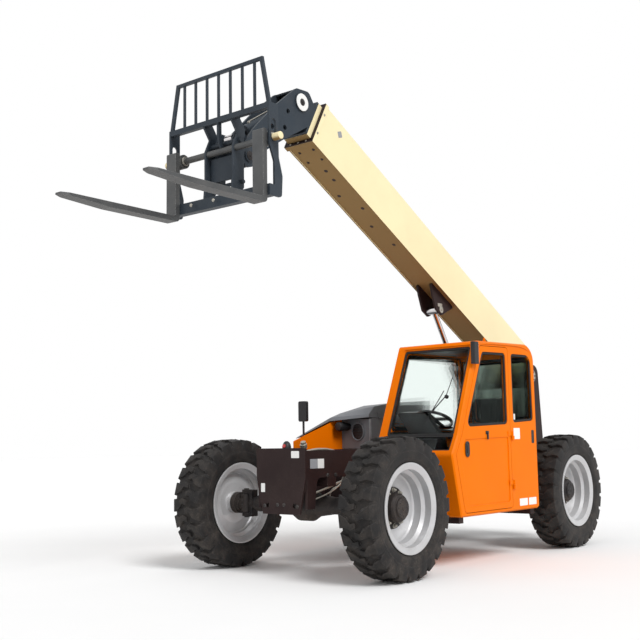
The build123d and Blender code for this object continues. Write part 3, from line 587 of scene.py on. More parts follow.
# woven seat cloth: two crossed bands of thread with worn, dusty places
def clothMaterial():
    material, tree, shader = newMaterial("seatCloth")
    weave = product(tree, bands(tree, "X", 150.0), bands(tree, "Y", 150.0))
    toned = placedGroup(tree, "tone", (0.030, 0.031, 0.034), Amount=0.25, Scale=7.0)
    dirtAndShadeNode = placedGroup(tree, "dirtAndShade", toned.outputs["Colour"], Dirt=(0.12, 0.11, 0.1), Patches=0.35, Low=0.0,
                        Underside=0.0, Scale=5.0)
    tree.links.new(dirtAndShadeNode.outputs["Colour"], shader.inputs["Base Color"])
    tree.links.new(rangeNode(tree, weave, 0.0, 1.0, 0.75, 0.95), shader.inputs["Roughness"])
    bumped(tree, shader, weave, 0.5, 0.0015)
    shader.inputs["Sheen Weight"].default_value = 0.3
    return material


materials["hardChrome"] = chromeMaterial()
materials["greenGlass"] = glassMaterial("greenGlass", (0.80, 0.92, 0.87), 0.32, 0.6)
# rear and quarter panes: the dark colour and low clarity paint the shaded cab inside
materials["shadeDarkGlass"] = glassMaterial("shadeDarkGlass", (0.16, 0.22, 0.18), 0.80, 0.9)
# door pane: tinted glass made darker to paint the shaded cab inside
materials["doorPaneGlass"] = glassMaterial("doorPaneGlass", (0.45, 0.56, 0.50), 0.55, 0.8)
materials["mirrorSilver"] = mirrorMaterial()
materials["redLens"] = lensMaterial("redLens", (0.45, 0.012, 0.01))
materials["seatCloth"] = clothMaterial()

slotFinish = {
    "chassis_paint": "chassisPaint", "steel": "bareSteel", "engine_iron": "engineIron",
    "orange_paint": "orangePaint", "grey_plastic": "greyPlastic", "tinted_glass": "greenGlass",
    "seat_cover": "seatCloth", "black_plastic": "blackPlastic", "axle_iron": "axleIron",
    "cream_paint": "creamPaint", "slate_paint": "slatePaint", "rod_chrome": "hardChrome",
    "fork_steel": "forkSteel", "tyre_rubber": "tyreRubber", "silver_paint": "silverPaint",
}
for part in frame["record"]["subparts"]:
    carried = nodes[part["node"]]
    carried.data.materials.clear()
    carried.data.materials.append(materials[slotFinish[part["material_slot"]]])
nodes["door_glass"].data.materials[0] = materials["doorPaneGlass"]
nodes["fork_shaft"].data.materials[0] = materials["forkSteel"]
print("materials ready:", len(materials))

view = {"place": (8.348, 6.155, 1.222), "yaw": -140.79, "pitch": 7.072, "roll": -0.928, "lens": 55.55,
        "sensor": 36}


def setCamera():
    lens = bpy.data.cameras.new("camera")
    lens.sensor_width = view["sensor"]
    lens.lens = view["lens"]
    camera = linked(bpy.data.objects.new("camera", lens))
    camera.location = view["place"]
    level = Euler((math.radians(90 + view["pitch"]), 0, math.radians(view["yaw"] - 90))).to_matrix()
    camera.rotation_euler = (level @ Matrix.Rotation(math.radians(view["roll"]), 3, "Z")).to_euler()
    bpy.context.scene.camera = camera


stage = {
    "floorSize": 160.0, "floorDrop": 0.001, "floorColour": (0.96, 0.96, 0.96), "sky": 0.55,
    # each lamp's strength, the direction it shines from and its angle across
    "lamps": {"sun": (2.15, (0.22, 0.74, 0.72), 25.0), "fill": (0.25, (0.9, -0.3, 0.45), 60.0)},
}


def setStage():
    deselectAll()
    bpy.ops.mesh.primitive_plane_add(size=stage["floorSize"], location=(0, 0, -stage["floorDrop"]))
    floor = bpy.context.object
    floor.name = "floor"
    material, tree, shader = newMaterial("paleFloor")
    tone = placedGroup(tree, "tone", stage["floorColour"], Amount=0.01, Scale=0.6)
    tree.links.new(tone.outputs["Colour"], shader.inputs["Base Color"])
    shader.inputs["Roughness"].default_value = 0.9
    floor.data.materials.append(material)
    for name, (energy, start, angle) in stage["lamps"].items():
        lamp = bpy.data.lights.new(name, "SUN")
        lamp.energy = energy
        lamp.angle = math.radians(angle)
        holder = linked(bpy.data.objects.new(name, lamp))
        holder.rotation_mode = "QUATERNION"
        holder.rotation_quaternion = Vector(start).to_track_quat("Z", "Y")
    world = bpy.data.worlds.new("studio")
    bpy.context.scene.world = world
    world.use_nodes = True
    tree = world.node_tree
    background = tree.nodes["Background"]
    background.inputs["Color"].default_value = (1, 1, 1, 1)
    rays = node(tree, "ShaderNodeLightPath")
    seen = mathNode(tree, "MAXIMUM", rays.outputs["Is Camera Ray"], rays.outputs["Is Transmission Ray"])
    seen = mathNode(tree, "MAXIMUM", seen, product(tree, rays.outputs["Is Glossy Ray"], 0.9))
    tree.links.new(rangeNode(tree, seen, 0.0, 1.0, stage["sky"], 1.0), background.inputs["Strength"])
    bpy.context.scene.view_settings.view_transform = "Standard"


setCamera()
setStage()
print("camera and stage set")


def fitted(bodies, name, body, slot, finish=None, angle=35):
    return finished(joined(bodies, name), body, materials[finish or slotFinish[slot]], angle)


# a hexagon head on its washer
def boltHead(spot, axis, size):
    washer = [(-0.001, size * 1.4), (size * 0.2, size * 1.4), (size * 0.26, size * 1.3)]
    hexagon = [(size * 0.2, size), (size * 0.75, size), (size * 0.88, size * 0.84)]
    return [turned(spot, axis, washer, 20), turned(spot, axis, hexagon, 6)]


def boltHeads(spots, axis, size):
    return [piece for spot in spots for piece in boltHead(spot, axis, size)]


# spots round a circle that stands along the machine, or across it
def circled(centre, radius, count, offset=0.0, across=False):
    spots = []
    for step in range(count):
        turn = step * 2 * math.pi / count + offset
        flat, high = radius * math.cos(turn), radius * math.sin(turn)
        spots.append(Vector(centre) + Vector((0, flat, high) if across else (flat, 0, high)))
    return spots


# side view outlines are points of (station, height), front view ones of (width, height)
def sideOutline(points, y):
    return [at(x, y, z) for x, z in points]


def frontOutline(points, x):
    return [at(x, y, z) for y, z in points]


def rectangle(left, right, low, high):
    return [(left, low), (right, low), (right, high), (left, high)]


# a plate on a side wall or on a front face, over a rectangle
def sidePlate(box, y, push, *edge, **more):
    return plate(sideOutline(rectangle(*box), y), (0, push, 0), *edge, **more)


def frontPlate(box, x, push, *edge, **more):
    return plate(frontOutline(rectangle(*box), x), (push, 0, 0), *edge, **more)


def shrunk(box, by):
    left, right, low, high = box
    return left + by, right - by, low + by, high - by


# boxes from rows of two corners, bevel and steps, in station, width and height
def blocks(rows):
    return [block(at(*low), at(*high), *edge) for low, high, *edge in rows]


# the same, each moved by one shift
def shiftedBlocks(rows, shift):
    shift = Vector(shift)
    return blocks([(Vector(low) + shift, Vector(high) + shift, *edge) for low, high, *edge in rows])


# the same at both sides of a middle line, widths counted from it
def twinBlocks(rows, line):
    made = []
    for side in (1, -1):
        for (x, y, z), (toX, toY, toZ), *edge in rows:
            low, high = sorted((line + side * y, line + side * toY))
            made.append(block(at(x, low, z), at(toX, high, toZ), *edge))
    return made


# pipes from rows of a radius and the spots that they pass
def pipes(rows, side=1):
    return [pipe([at(x, side * y, z) for x, y, z in spots], radius) for radius, *spots in rows]


# wheels: treaded tyre, dark hub with its nuts
tyre = {
    "radius": 0.633, "lugBase": 0.560, "lugs": 24, "around": 120,
    # height across the tyre and radius, from one bead over the tread to the other
    "half": [(0.0, 0.607), (0.07, 0.606), (0.128, 0.604), (0.152, 0.600), (0.169, 0.576), (0.176, 0.530),
             (0.1765, 0.480), (0.171, 0.440), (0.160, 0.415), (0.1500, 0.4025), (0.1485, 0.372),
             (0.1485, 0.3535)],
    # one lug as (round, across): broad at the shoulder, bent and narrow at the middle
    "lug": [(-0.070, 0.176), (0.066, 0.176), (0.054, 0.098), (0.078, 0.040), (0.056, -0.012),
            (0.006, -0.012), (0.020, 0.044), (-0.036, 0.088)],
    "corner": 0.006, "bevel": 0.005, "taper": (0.92, 0.97), "taperAbout": 0.08,
    "shoulder": 0.14, "topLean": (0, -0.006, -0.012), "footDrop": (0, 0.000, -0.035),
    # raised rings on each sidewall, as (radius, height), and a ring's own section
    "rings": [(0.503, 0.1765), (0.438, 0.169)], "ringDeep": 0.008, "ringFoot": 0.006, "ringTop": 0.003,
}


def makeLug():
    top, foot = tyre["radius"], tyre["lugBase"]
    lug = plate([(along, across, foot) for along, across in tyre["lug"]], (0, 0, top - foot),
                corner=tyre["corner"], segments=2)
    editing(lug)
    pick("verts", lambda vert: vert.co.z > top - 0.001)
    bpy.ops.transform.resize(value=(*tyre["taper"], 1), center_override=(0.0, tyre["taperAbout"], 0))
    # the shoulder end leans in towards the sidewall
    pick("verts", lambda vert: vert.co.z > top - 0.001 and vert.co.y > tyre["shoulder"])
    bpy.ops.transform.translate(value=tyre["topLean"])
    pick("verts", lambda vert: vert.co.z < foot + 0.001 and vert.co.y > tyre["shoulder"])
    bpy.ops.transform.translate(value=tyre["footDrop"])
    objectMode()
    return edged(lug, tyre["bevel"], angle_limit=math.radians(35))


def makeTyre():
    half = tyre["half"]
    ring = [(-height, radius) for height, radius in reversed(half)] + half[1:]
    bodies = [turned((0, 0, 0), (0, 1, 0), ring + [ring[0]], tyre["around"], hollow=True)]
    lug = makeLug()
    pitch = 2 * math.pi / tyre["lugs"]
    for row in (1, -1):
        mirror = Matrix.Scale(-1, 4, (0, 1, 0)) if row < 0 else Matrix.Identity(4)
        for step in range(tyre["lugs"]):
            turn = Matrix.Rotation(pitch * (step + (0.5 if row < 0 else 0)), 4, "Y")
            bodies.append(copied(lug, turn @ mirror, "lug"))
    deleted(lug)
    for side in (1, -1):
        for radius, height in tyre["rings"]:
            top, low = side * height, side * (height - tyre["ringDeep"])
            section = [(low, radius - tyre["ringFoot"]), (top, radius - tyre["ringTop"]),
                       (top, radius + tyre["ringTop"]), (low, radius + tyre["ringFoot"])]
            bodies.append(turned((0, 0, 0), (0, 1, 0), section + [section[0]], tyre["around"], hollow=True))
    return joined(bodies, "tyrePattern")


hub = {
    "profile": [(-0.0445, 0.187), (-0.030, 0.1835), (-0.0275, 0.178), (-0.0275, 0.136), (-0.018, 0.128),
                (0.034, 0.1270), (0.054, 0.1145), (0.060, 0.094), (0.078, 0.090), (0.0815, 0.084)],
    "face": 0.0815, "plug": [(-0.002, 0.026), (0.004, 0.024), (0.006, 0.018)],
    "screws": 8, "screwCircle": 0.068, "screw": [(-0.002, 0.0085), (0.005, 0.0085), (0.006, 0.007)],
    "nuts": 10, "nutCircle": 0.157, "nutSeat": -0.0275,
    # sides and section of each washer, nut and stud
    "nutPieces": [(24, [(-0.001, 0.021), (0.004, 0.021), (0.005, 0.020)]),
                  (6, [(0.004, 0.0165), (0.019, 0.0165), (0.022, 0.01419)]),
                  (16, [(0.021, 0.0095), (0.031, 0.0095), (0.033, 0.008)])],
}


def makeHub():
    bodies = [turned((0, 0, 0), (0, 1, 0), hub["profile"], 64),
              turned((0, hub["face"], 0), (0, 1, 0), hub["plug"], 6)]
    for spot in circled((0, hub["face"], 0), hub["screwCircle"], hub["screws"]):
        bodies.append(turned(spot, (0, 1, 0), hub["screw"], 6))
    return joined(bodies, "hubPattern")


def makeNuts():
    spots = circled((0, hub["nutSeat"], 0), hub["nutCircle"], hub["nuts"], math.pi / hub["nuts"])
    return joined([turned(spot, (0, 1, 0), section, sides) for spot in spots
                   for sides, section in hub["nutPieces"]], "nutPattern")


def fitWheels():
    patterns = {
        "tyre": (makeTyre(), "tyre_rubber", "tyreRubber"),
        "hub": (makeHub(), "silver_paint", "axleIron"),
        "nuts": (makeNuts(), "silver_paint", "bareSteel"),
    }
    for place, centre in wheelCentres.items():
        turn = Matrix.Identity(4) if centre.y > 0 else Matrix.Rotation(math.pi, 4, "Z")
        for kind, (pattern, slot, finish) in patterns.items():
            piece = copied(pattern, Matrix.Translation(centre) @ turn, f"{kind}_{place}_dressed")
            finished(piece, f"wheel_{place}", materials[finish], 30)
            if kind == "tyre":
                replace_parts(piece, f"tyre_{place}")
    for pattern, *_ in patterns.values():
        deleted(pattern)


fitWheels()
print("wheels fitted")

cab = {
    "left": 1.150, "right": 0.220, "middle": 0.705, "halfScreen": 0.395, "rear": -2.482,
    "chin": (-0.764, 1.085), "knee": (-0.883, 1.272), "brow": (-1.285, 2.210),
    "screen": (-0.510, 0.450), "toe": (-0.060, 0.111), "paneDepth": 0.026, "paneThick": 0.006,
    "sealWide": 0.024, "toeSealWide": 0.014, "sealProud": 0.014, "sealBevel": 0.003,
    "doorPane": [(-1.045, 1.350), (-1.390, 2.105), (-1.865, 2.118), (-1.865, 1.380)],
    "quarterPane": [(-1.985, 1.395), (-1.985, 2.118), (-2.420, 2.125), (-2.430, 1.420)],
    "rightPane": [(-1.050, 1.350), (-1.390, 2.105), (-2.420, 2.125), (-2.420, 1.350)],
    "rearPane": [(0.300, 1.440), (1.080, 1.440), (1.080, 2.080), (0.300, 2.080)],
}


def slopeDirections(foot, head):
    rise = math.hypot(head[0] - foot[0], head[1] - foot[1])
    upward = Vector(((head[0] - foot[0]) / rise, 0, (head[1] - foot[1]) / rise))
    return upward, Vector((upward.z, 0, -upward.x))


# a point on a sloped front face of the cab, out from its outer surface
def onSlope(foot, head, across, up, out):
    upward, outward = slopeDirections(foot, head)
    centre = at((foot[0] + head[0]) / 2, cab["middle"], (foot[1] + head[1]) / 2)
    return centre + Vector((0, across, 0)) + up * upward + out * outward


def slopedSheet(foot, head, reach, depth, push, corner, border=None):
    half = cab["halfScreen"]
    corners = [onSlope(foot, head, across, up, depth)
               for across, up in ((-half, reach[0]), (half, reach[0]), (half, reach[1]), (-half, reach[1]))]
    return plate(corners, slopeDirections(foot, head)[1] * push, corner=corner, border=border)


def fitGlass():
    deep, thick, proud, wide = cab["paneDepth"], cab["paneThick"], cab["sealProud"], cab["sealWide"]
    knee, brow, chin, rear = cab["knee"], cab["brow"], cab["chin"], cab["rear"]
    panes = {
        "windscreen": (slopedSheet(knee, brow, cab["screen"], -deep, thick, 0.036), "greenGlass"),
        "toePane": (slopedSheet(chin, knee, cab["toe"], -deep, thick, 0.012), "greenGlass"),
        "rightPane": (plate(sideOutline(cab["rightPane"], cab["right"] + deep), (0, -thick, 0), 0.05),
                      "greenGlass"),
        "rearPane": (plate(frontOutline(cab["rearPane"], rear), (thick, 0, 0), 0.06), "shadeDarkGlass"),
        "quarterPane": (plate(sideOutline(cab["quarterPane"], cab["left"] - deep), (0, thick, 0), 0.045),
                        "shadeDarkGlass"),
    }
    for name, (pane, finish) in panes.items():
        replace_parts(fitted([pane], name, "chassis", "tinted_glass", finish), "cab_glass")
    face = deep - thick
    seals = [
        slopedSheet(knee, brow, cab["screen"], -face, proud, 0.034, wide),
        slopedSheet(chin, knee, cab["toe"], -face, proud, 0.012, cab["toeSealWide"]),
        plate(sideOutline(cab["rightPane"], cab["right"] + face), (0, -proud, 0), 0.05, border=wide),
        plate(frontOutline(cab["rearPane"], rear), (-proud, 0, 0), 0.06, border=wide),
        plate(sideOutline(cab["quarterPane"], cab["left"] - face), (0, proud, 0), 0.045, border=wide),
    ]
    for seal in seals:
        edged(seal, cab["sealBevel"])
    fitted(seals, "windowSeals", "chassis", "black_plastic", "rubberSeal")
    doorSeal = plate(sideOutline(cab["doorPane"], cab["left"] - face), (0, proud, 0), 0.05, border=wide)
    fitted([edged(doorSeal, cab["sealBevel"])], "doorWindowSeal", "door", "black_plastic", "rubberSeal")


fitGlass()
print("panes and seals fitted")

cabLining = {
    "thick": 0.010, "inner": {"rear": -2.4545, "right": 0.2655, "rightLow": 0.3605, "left": 1.1045},
    "roof": [(-1.370, 0.290), (-2.400, 0.290), (-2.400, 1.085), (-1.370, 1.085)],
    "roofHeight": (2.150, 2.176),
    "rear": [(0.375, 0.550), (1.090, 0.550), (1.090, 1.410), (0.375, 1.410)],
    "right": [(-0.900, 1.222), (-1.005, 1.318), (-2.440, 1.318), (-2.440, 1.222)],
    "rightLow": [(-0.900, 0.560), (-0.810, 1.080), (-0.850, 1.150), (-2.440, 1.150), (-2.440, 0.560)],
    "door": [(-0.995, 0.565), (-0.870, 1.080), (-0.985, 1.275), (-1.020, 1.330), (-1.880, 1.355),
             (-1.880, 0.565)],
    "quarter": [(-1.935, 0.560), (-1.935, 1.370), (-2.440, 1.380), (-2.440, 0.560)],
    # the black frames round the window openings and the strips below are dark sheets that paint the shade on
    # the cab's inner frame
    "rightFrame": [(-1.015, 1.325), (-1.375, 2.130), (-2.450, 2.150), (-2.450, 1.325)],
    "doorFrame": [(-1.012, 1.358), (-1.375, 2.132), (-1.895, 2.145), (-1.895, 1.358)],
    "rearFrame": [(0.278, 1.418), (1.102, 1.418), (1.102, 2.102), (0.278, 2.102)],
    "innerShadeStrips": [((-2.4545, 0.280, 2.095), (-2.440, 1.100, 2.150), 0.003),
              ((-1.975, 1.094, 1.400), (-1.925, 1.1045, 2.110), 0.003)],
    "doorPocket": [((-1.75, 1.060, 0.62), (-1.15, 1.096, 0.82), 0.008)],
    "doorGrab": [(0.012, (-1.10, 1.097, 1.20), (-1.10, 1.055, 1.20), (-1.45, 1.055, 1.22),
                  (-1.45, 1.097, 1.22))],
    "mat": [(-0.950, 0.375), (-2.400, 0.375), (-2.400, 1.085), (-0.950, 1.085)], "matHeight": 0.5365,
    "matThick": 0.009, "ribs": 22, "ribFirst": [((-2.30, 0.40, 0.545), (-2.275, 1.06, 0.549), 0.001)],
    "ribPitch": 0.06,
    # instrument pod behind the windscreen, as (width, height)
    "pod": [(0.345, 1.500), (0.690, 1.492), (0.885, 1.225), (0.700, 1.160), (0.520, 1.245)],
    "podFace": -1.115, "podThick": 0.085,
    "podHood": [(-1.03, 0.36, 1.497), (-1.03, 0.68, 1.490), (-1.19, 0.68, 1.505), (-1.19, 0.36, 1.512)],
    "lever": [(0.011, (-1.66, 0.42, 1.02), (-1.66, 0.42, 1.12), (-1.64, 0.43, 1.20))],
    "leverKnob": [(-0.01, 0.014), (0.02, 0.024), (0.055, 0.021), (0.075, 0.010)],
    "sideBox": [((-2.15, 0.372, 0.56), (-1.50, 0.452, 1.02), 0.02, 3)],
}


def fitCabLining():
    thick, inner = cabLining["thick"], cabLining["inner"]
    low, high = cabLining["roofHeight"]
    lining = [
        plate([at(x, y, low if x > -2 else high) for x, y in cabLining["roof"]], (0, 0, -thick), 0.04),
        plate(frontOutline(cabLining["rear"], inner["rear"]), (thick, 0, 0), 0.03, 0.003),
        plate(sideOutline(cabLining["right"], inner["right"]), (0, thick, 0), 0.02, 0.003),
        plate(sideOutline(cabLining["rightLow"], inner["rightLow"]), (0, thick, 0), 0.03, 0.003),
        plate(sideOutline(cabLining["quarter"], inner["left"]), (0, -thick, 0), 0.03, 0.003),
        # painted shade: black frames round the window openings, then strips on the rear wall's top and the
        # post by the quarter pane
        plate(sideOutline(cabLining["rightFrame"], inner["right"]), (0, thick, 0), 0.06, border=0.030),
        plate(frontOutline(cabLining["rearFrame"], inner["rear"]), (thick, 0, 0), 0.06, border=0.022),
    ]
    fitted(lining + blocks(cabLining["innerShadeStrips"]), "cabLining", "chassis", "black_plastic")
    doorLining = [
        # painted shade: black frame round the door window
        plate(sideOutline(cabLining["doorFrame"], inner["left"]), (0, -thick, 0), 0.06, border=0.030),
        plate(sideOutline(cabLining["door"], inner["left"]), (0, -thick, 0), 0.03, 0.003),
    ]
    doorLining += blocks(cabLining["doorPocket"]) + pipes(cabLining["doorGrab"])
    fitted(doorLining, "doorLining", "door", "black_plastic")
    mat = [plate([at(x, y, cabLining["matHeight"]) for x, y in cabLining["mat"]],
                 (0, 0, cabLining["matThick"]), 0.03, 0.002)]
    for step in range(cabLining["ribs"]):
        mat += shiftedBlocks(cabLining["ribFirst"], (cabLining["ribPitch"] * step, 0, 0))
    fitted(mat, "floorMat", "chassis", "black_plastic", "rubberSeal")
    dash = [
        plate(frontOutline(cabLining["pod"], cabLining["podFace"]), (cabLining["podThick"], 0, 0), 0.02,
              0.006),
        plate([at(*spot) for spot in cabLining["podHood"]], (0, 0, 0.012), 0.02, 0.004),
        *pipes(cabLining["lever"]),
        turned(at(-1.64, 0.43, 1.19), (0.1, 0, 1), cabLining["leverKnob"], 20),
        *blocks(cabLining["sideBox"]),
    ]
    fitted(dash, "dashAndLevers", "chassis", "black_plastic")


fitCabLining()
print("cab lined")

seating = {
    "middle": 0.690, "smoothAngle": 60, "fill": 0.8,
    "cushionLow": (-2.140, 0.462, 0.985), "cushionHigh": (-1.662, 0.918, 1.078), "cushionEdge": 0.03,
    "noseReach": 0.06, "noseHigh": 0.05, "noseTuck": 0.03, "cushionSeam": 0.145, "cushionCross": 0.20,
    "backFoot": (-2.190, 1.095), "backHead": (-2.275, 1.690), "backThick": 0.088, "backHalf": 0.215,
    "backEdge": 0.025, "headThin": 0.6, "headReach": 0.06, "headNarrow": 0.86,
    "backSeam": 0.13, "backCross": 1.36,
    "voxel": 0.010, "pressure": 4.0, "frames": 20, "cap": 0.012,
    "channelDeep": 0.006, "channelWide": 0.012,
    # widths from here on count from the seat's middle
    "tray": [((-2.15, -0.245, 0.955), (-1.655, 0.245, 0.985), 0.012, 3)],
    "armRests": [((-2.19, 0.250, 1.235), (-1.89, 0.300, 1.283), 0.018, 3),
                 ((-2.18, 0.255, 1.00), (-2.12, 0.295, 1.24), 0.008, 2),
                 ((-2.17, 0.233, 1.00), (-2.13, 0.277, 1.04), 0.005, 2)],
    "backShell": [(-2.275, 1.02), (-2.292, 1.02), (-2.352, 1.66), (-2.337, 1.66)], "shellHalf": 0.20,
    "hinge": [((-2.285, -0.06, 0.955), (-2.14, 0.06, 1.05), 0.01, 2)],
    "bellowsFoot": (-1.90, 0.0, 0.545), "folds": 9, "foldPitch": 0.044, "foldOut": (0.012, 0.200),
    "foldIn": (0.034, 0.176),
}


# the pad swells like a filled cover and no point moves further than the cap
def padded(obj, cap):
    applied(obj, "REMESH", mode="VOXEL", voxel_size=seating["voxel"])
    before = [vert.co.copy() for vert in obj.data.vertices]
    swell = obj.modifiers.new("Cloth", "CLOTH")
    swell.settings.use_pressure = True
    swell.settings.uniform_pressure_force = seating["pressure"]
    swell.settings.effector_weights.gravity = 0
    swell.point_cache.frame_start = 1
    swell.point_cache.frame_end = seating["frames"]
    for count in range(1, seating["frames"] + 1):
        bpy.context.scene.frame_set(count)
    chosen(obj)
    bpy.ops.object.modifier_apply(modifier=swell.name)
    bpy.context.scene.frame_set(1)
    for vert, old in zip(obj.data.vertices, before):
        shift = vert.co - old
        if shift.length > cap:
            vert.co = old + shift.normalized() * cap
    applied(obj, "SMOOTH", factor=0.5, iterations=3)


# sewn channels pressed in after the remesh; a seam is an axis (0 along, 1 across, 2 up) and a place on it
def sewn(obj, seams):
    deep, wide = seating["channelDeep"], seating["channelWide"]
    pushed = []
    for vert in obj.data.vertices:
        nearest = min(abs(vert.co[axis] - place) for axis, place in seams)
        pushed.append(vert.co - vert.normal * deep * math.exp(-(nearest / wide) ** 2 * 2))
    for vert, place in zip(obj.data.vertices, pushed):
        vert.co = place
    applied(obj, "SUBSURF", levels=1, render_levels=1)


def makeCushion():
    low, high = at(*seating["cushionLow"]), at(*seating["cushionHigh"])
    line, seam = seating["middle"], seating["cushionSeam"]
    cushion = block(low, high, seating["cushionEdge"], 3)
    editing(cushion)
    pick("verts", lambda vert: vert.co.x > high.x - seating["noseReach"]
         and vert.co.z < low.z + seating["noseHigh"])
    bpy.ops.transform.translate(value=(-seating["noseTuck"], 0, 0))
    objectMode()
    padded(cushion, seating["cap"])
    sewn(cushion, [(1, line - seam), (1, line + seam), (0, low.x + seating["cushionCross"])])
    return cushion


def makeBack():
    foot, head, thick = seating["backFoot"], seating["backHead"], seating["backThick"]
    line, seam, half = seating["middle"], seating["backSeam"], seating["backHalf"]
    section = [foot, (foot[0] - thick, foot[1]), (head[0] - thick * seating["headThin"], head[1]), head]
    back = plate(sideOutline(section, line - half), (0, 2 * half, 0), 0.0, seating["backEdge"])
    editing(back)
    pick("verts", lambda vert: vert.co.z > head[1] - seating["headReach"])
    bpy.ops.transform.resize(value=(1, seating["headNarrow"], 1), center_override=(0, line, 0))
    objectMode()
    padded(back, seating["cap"])
    sewn(back, [(1, line - seam), (1, line + seam), (2, seating["backCross"])])
    return back


# square bellows under the seat, turned as a four sided piece and set straight
def makeBellows():
    folds = []
    for step in range(seating["folds"]):
        for height, radius in (seating["foldOut"], seating["foldIn"]):
            folds.append((height + step * seating["foldPitch"], radius))
    centre = at(*seating["bellowsFoot"]) + Vector((0, seating["middle"], 0))
    bellows = turned(centre, (0, 0, 1), folds, 4)
    turn = Matrix.Rotation(math.radians(45), 4, "Z")
    bellows.data.transform(Matrix.Translation(centre) @ turn @ Matrix.Translation(-centre))
    return edged(bellows, 0.006)


def fitSeat():
    for pad, name in ((makeCushion(), "seatCushion"), (makeBack(), "seatBack")):
        fitted([pad], name, "chassis", "seat_cover", angle=seating["smoothAngle"])
        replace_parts(pad, "seat")
    line, half = seating["middle"], seating["shellHalf"]
    shell = shiftedBlocks(seating["tray"], (0, line, 0)) + twinBlocks(seating["armRests"], line)
    shell.append(plate(sideOutline(seating["backShell"], line - half), (0, 2 * half, 0), 0.0, 0.006))
    shell += shiftedBlocks(seating["hinge"], (0, line, 0))
    shell.append(makeBellows())
    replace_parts(fitted(shell, "seatShell", "chassis", "black_plastic"), "seat")


fitSeat()
print("seat made")

# small fittings of the cab's outside, all in stations and heights
cabTrim = {
    "blankLabels": [(-2.120, -1.985, 1.225, 1.340), (-2.235, -2.060, 0.535, 0.610),
                    (-2.430, -2.262, 0.535, 0.610)],
    "paneLabel": (-2.065, -1.950, 1.428, 1.490), "labelThick": 0.0012, "paneDeep": 0.0205,
    "rearSlot": (-2.432, -2.376, 1.180, 1.319), "slotRim": 0.008,
    "latch": [((-1.466, 1.149, 1.277), (-1.406, 1.156, 1.311), 0.003),
              ((-1.448, 1.154, 1.227), (-1.424, 1.164, 1.295), 0.004)], "latchBolt": (-1.436, 1.156, 1.295),
    "handle": (-1.088, -1.012, 1.060, 1.212), "handleRim": 0.012,
    "grip": [((-1.062, 1.150, 1.095), (-1.038, 1.155, 1.182), 0.002)],
    "knob": (-1.600, 1.060, 2.240),
    "knobProfile": [(-0.06, 0.016), (0.004, 0.016), (0.006, 0.010), (0.020, 0.010), (0.026, 0.006)],
    # the wiper in widths and heights from the windscreen's middle, and out from it
    "wiperHub": (0.221, -0.092, -0.020), "hubProfile": [(0.0, 0.020), (0.022, 0.018), (0.030, 0.012)],
    "wiperRods": [(0.0055, (0.221, -0.092, 0.004), (0.171, -0.162, 0.010), (0.075, -0.275, -0.004)),
                  (0.0045, (0.025, -0.355, -0.012), (0.075, -0.275, -0.010), (0.175, -0.025, -0.012)),
                  (0.004, (0.221, -0.092, 0.002), (0.245, 0.126, -0.014))],
    "gutter": [(0.007, (-1.335, 1.146, 2.175), (-1.42, 1.154, 2.192), (-1.9, 1.155, 2.206),
                (-2.30, 1.154, 2.208), (-2.44, 1.144, 2.150))],
    "lip": (-0.40, 0.40, 0.462, 0.474), "lipOut": 0.002, "lipProud": 0.012,
    "mirrorFaces": [((-1.2462, 1.160, 1.985), (-1.2445, 1.198, 2.175), 0.0006),
                    ((-0.9212, -0.848, 1.462), (-0.9195, -0.752, 1.658), 0.0006)],
}


def fitCabFittings():
    left, thin = cab["left"], cabTrim["labelThick"]
    labels = [sidePlate(box, left - 0.0005, thin, 0.008) for box in cabTrim["blankLabels"]]
    labels.append(sidePlate(cabTrim["paneLabel"], left - cabTrim["paneDeep"], thin, 0.005))
    fitted(labels, "blankLabels", "chassis", "seat_cover", "whitePaint")
    box = cabTrim["rearSlot"]
    slot = [sidePlate(box, left - 0.001, 0.003, 0.012, border=cabTrim["slotRim"]),
            sidePlate(shrunk(box, cabTrim["slotRim"] - 0.001), left - 0.0005, 0.001, 0.008)]
    fitted(slot, "rearSlot", "chassis", "black_plastic")
    box, rim = cabTrim["handle"], cabTrim["handleRim"]
    catch = blocks(cabTrim["latch"]) + boltHead(at(*cabTrim["latchBolt"]), (0, 1, 0), 0.007)
    catch.append(sidePlate(box, left - 0.0005, 0.003, 0.035, border=rim))
    catch.append(sidePlate(shrunk(box, rim - 0.001), left - 0.0005, thin, 0.025))
    catch += blocks(cabTrim["grip"])
    fitted(catch, "doorLatch", "door", "black_plastic")
    knob = turned(at(*cabTrim["knob"]), (0, 0, 1), cabTrim["knobProfile"], 20)
    fitted([knob], "roofKnob", "chassis", "orange_paint")
    slope = cab["knee"], cab["brow"]
    outward = slopeDirections(*slope)[1]
    wiper = [turned(onSlope(*slope, *cabTrim["wiperHub"]), outward, cabTrim["hubProfile"], 24)]
    for radius, *spots in cabTrim["wiperRods"]:
        wiper.append(pipe([onSlope(*slope, *spot) for spot in spots], radius))
    fitted(wiper, "wiper", "chassis", "black_plastic")
    # rain gutter over the side windows and a lip over the windscreen
    corners = [onSlope(*slope, across, up, cabTrim["lipOut"])
               for across, up in rectangle(*cabTrim["lip"])]
    lip = plate(corners, outward * cabTrim["lipProud"], 0.0, 0.003)
    fitted(pipes(cabTrim["gutter"]) + [lip], "rainGutter", "chassis", "orange_paint")
    fitted(blocks(cabTrim["mirrorFaces"]), "mirrorFaces", "chassis", "black_plastic", "mirrorSilver")


fitCabFittings()
print("cab fittings on")

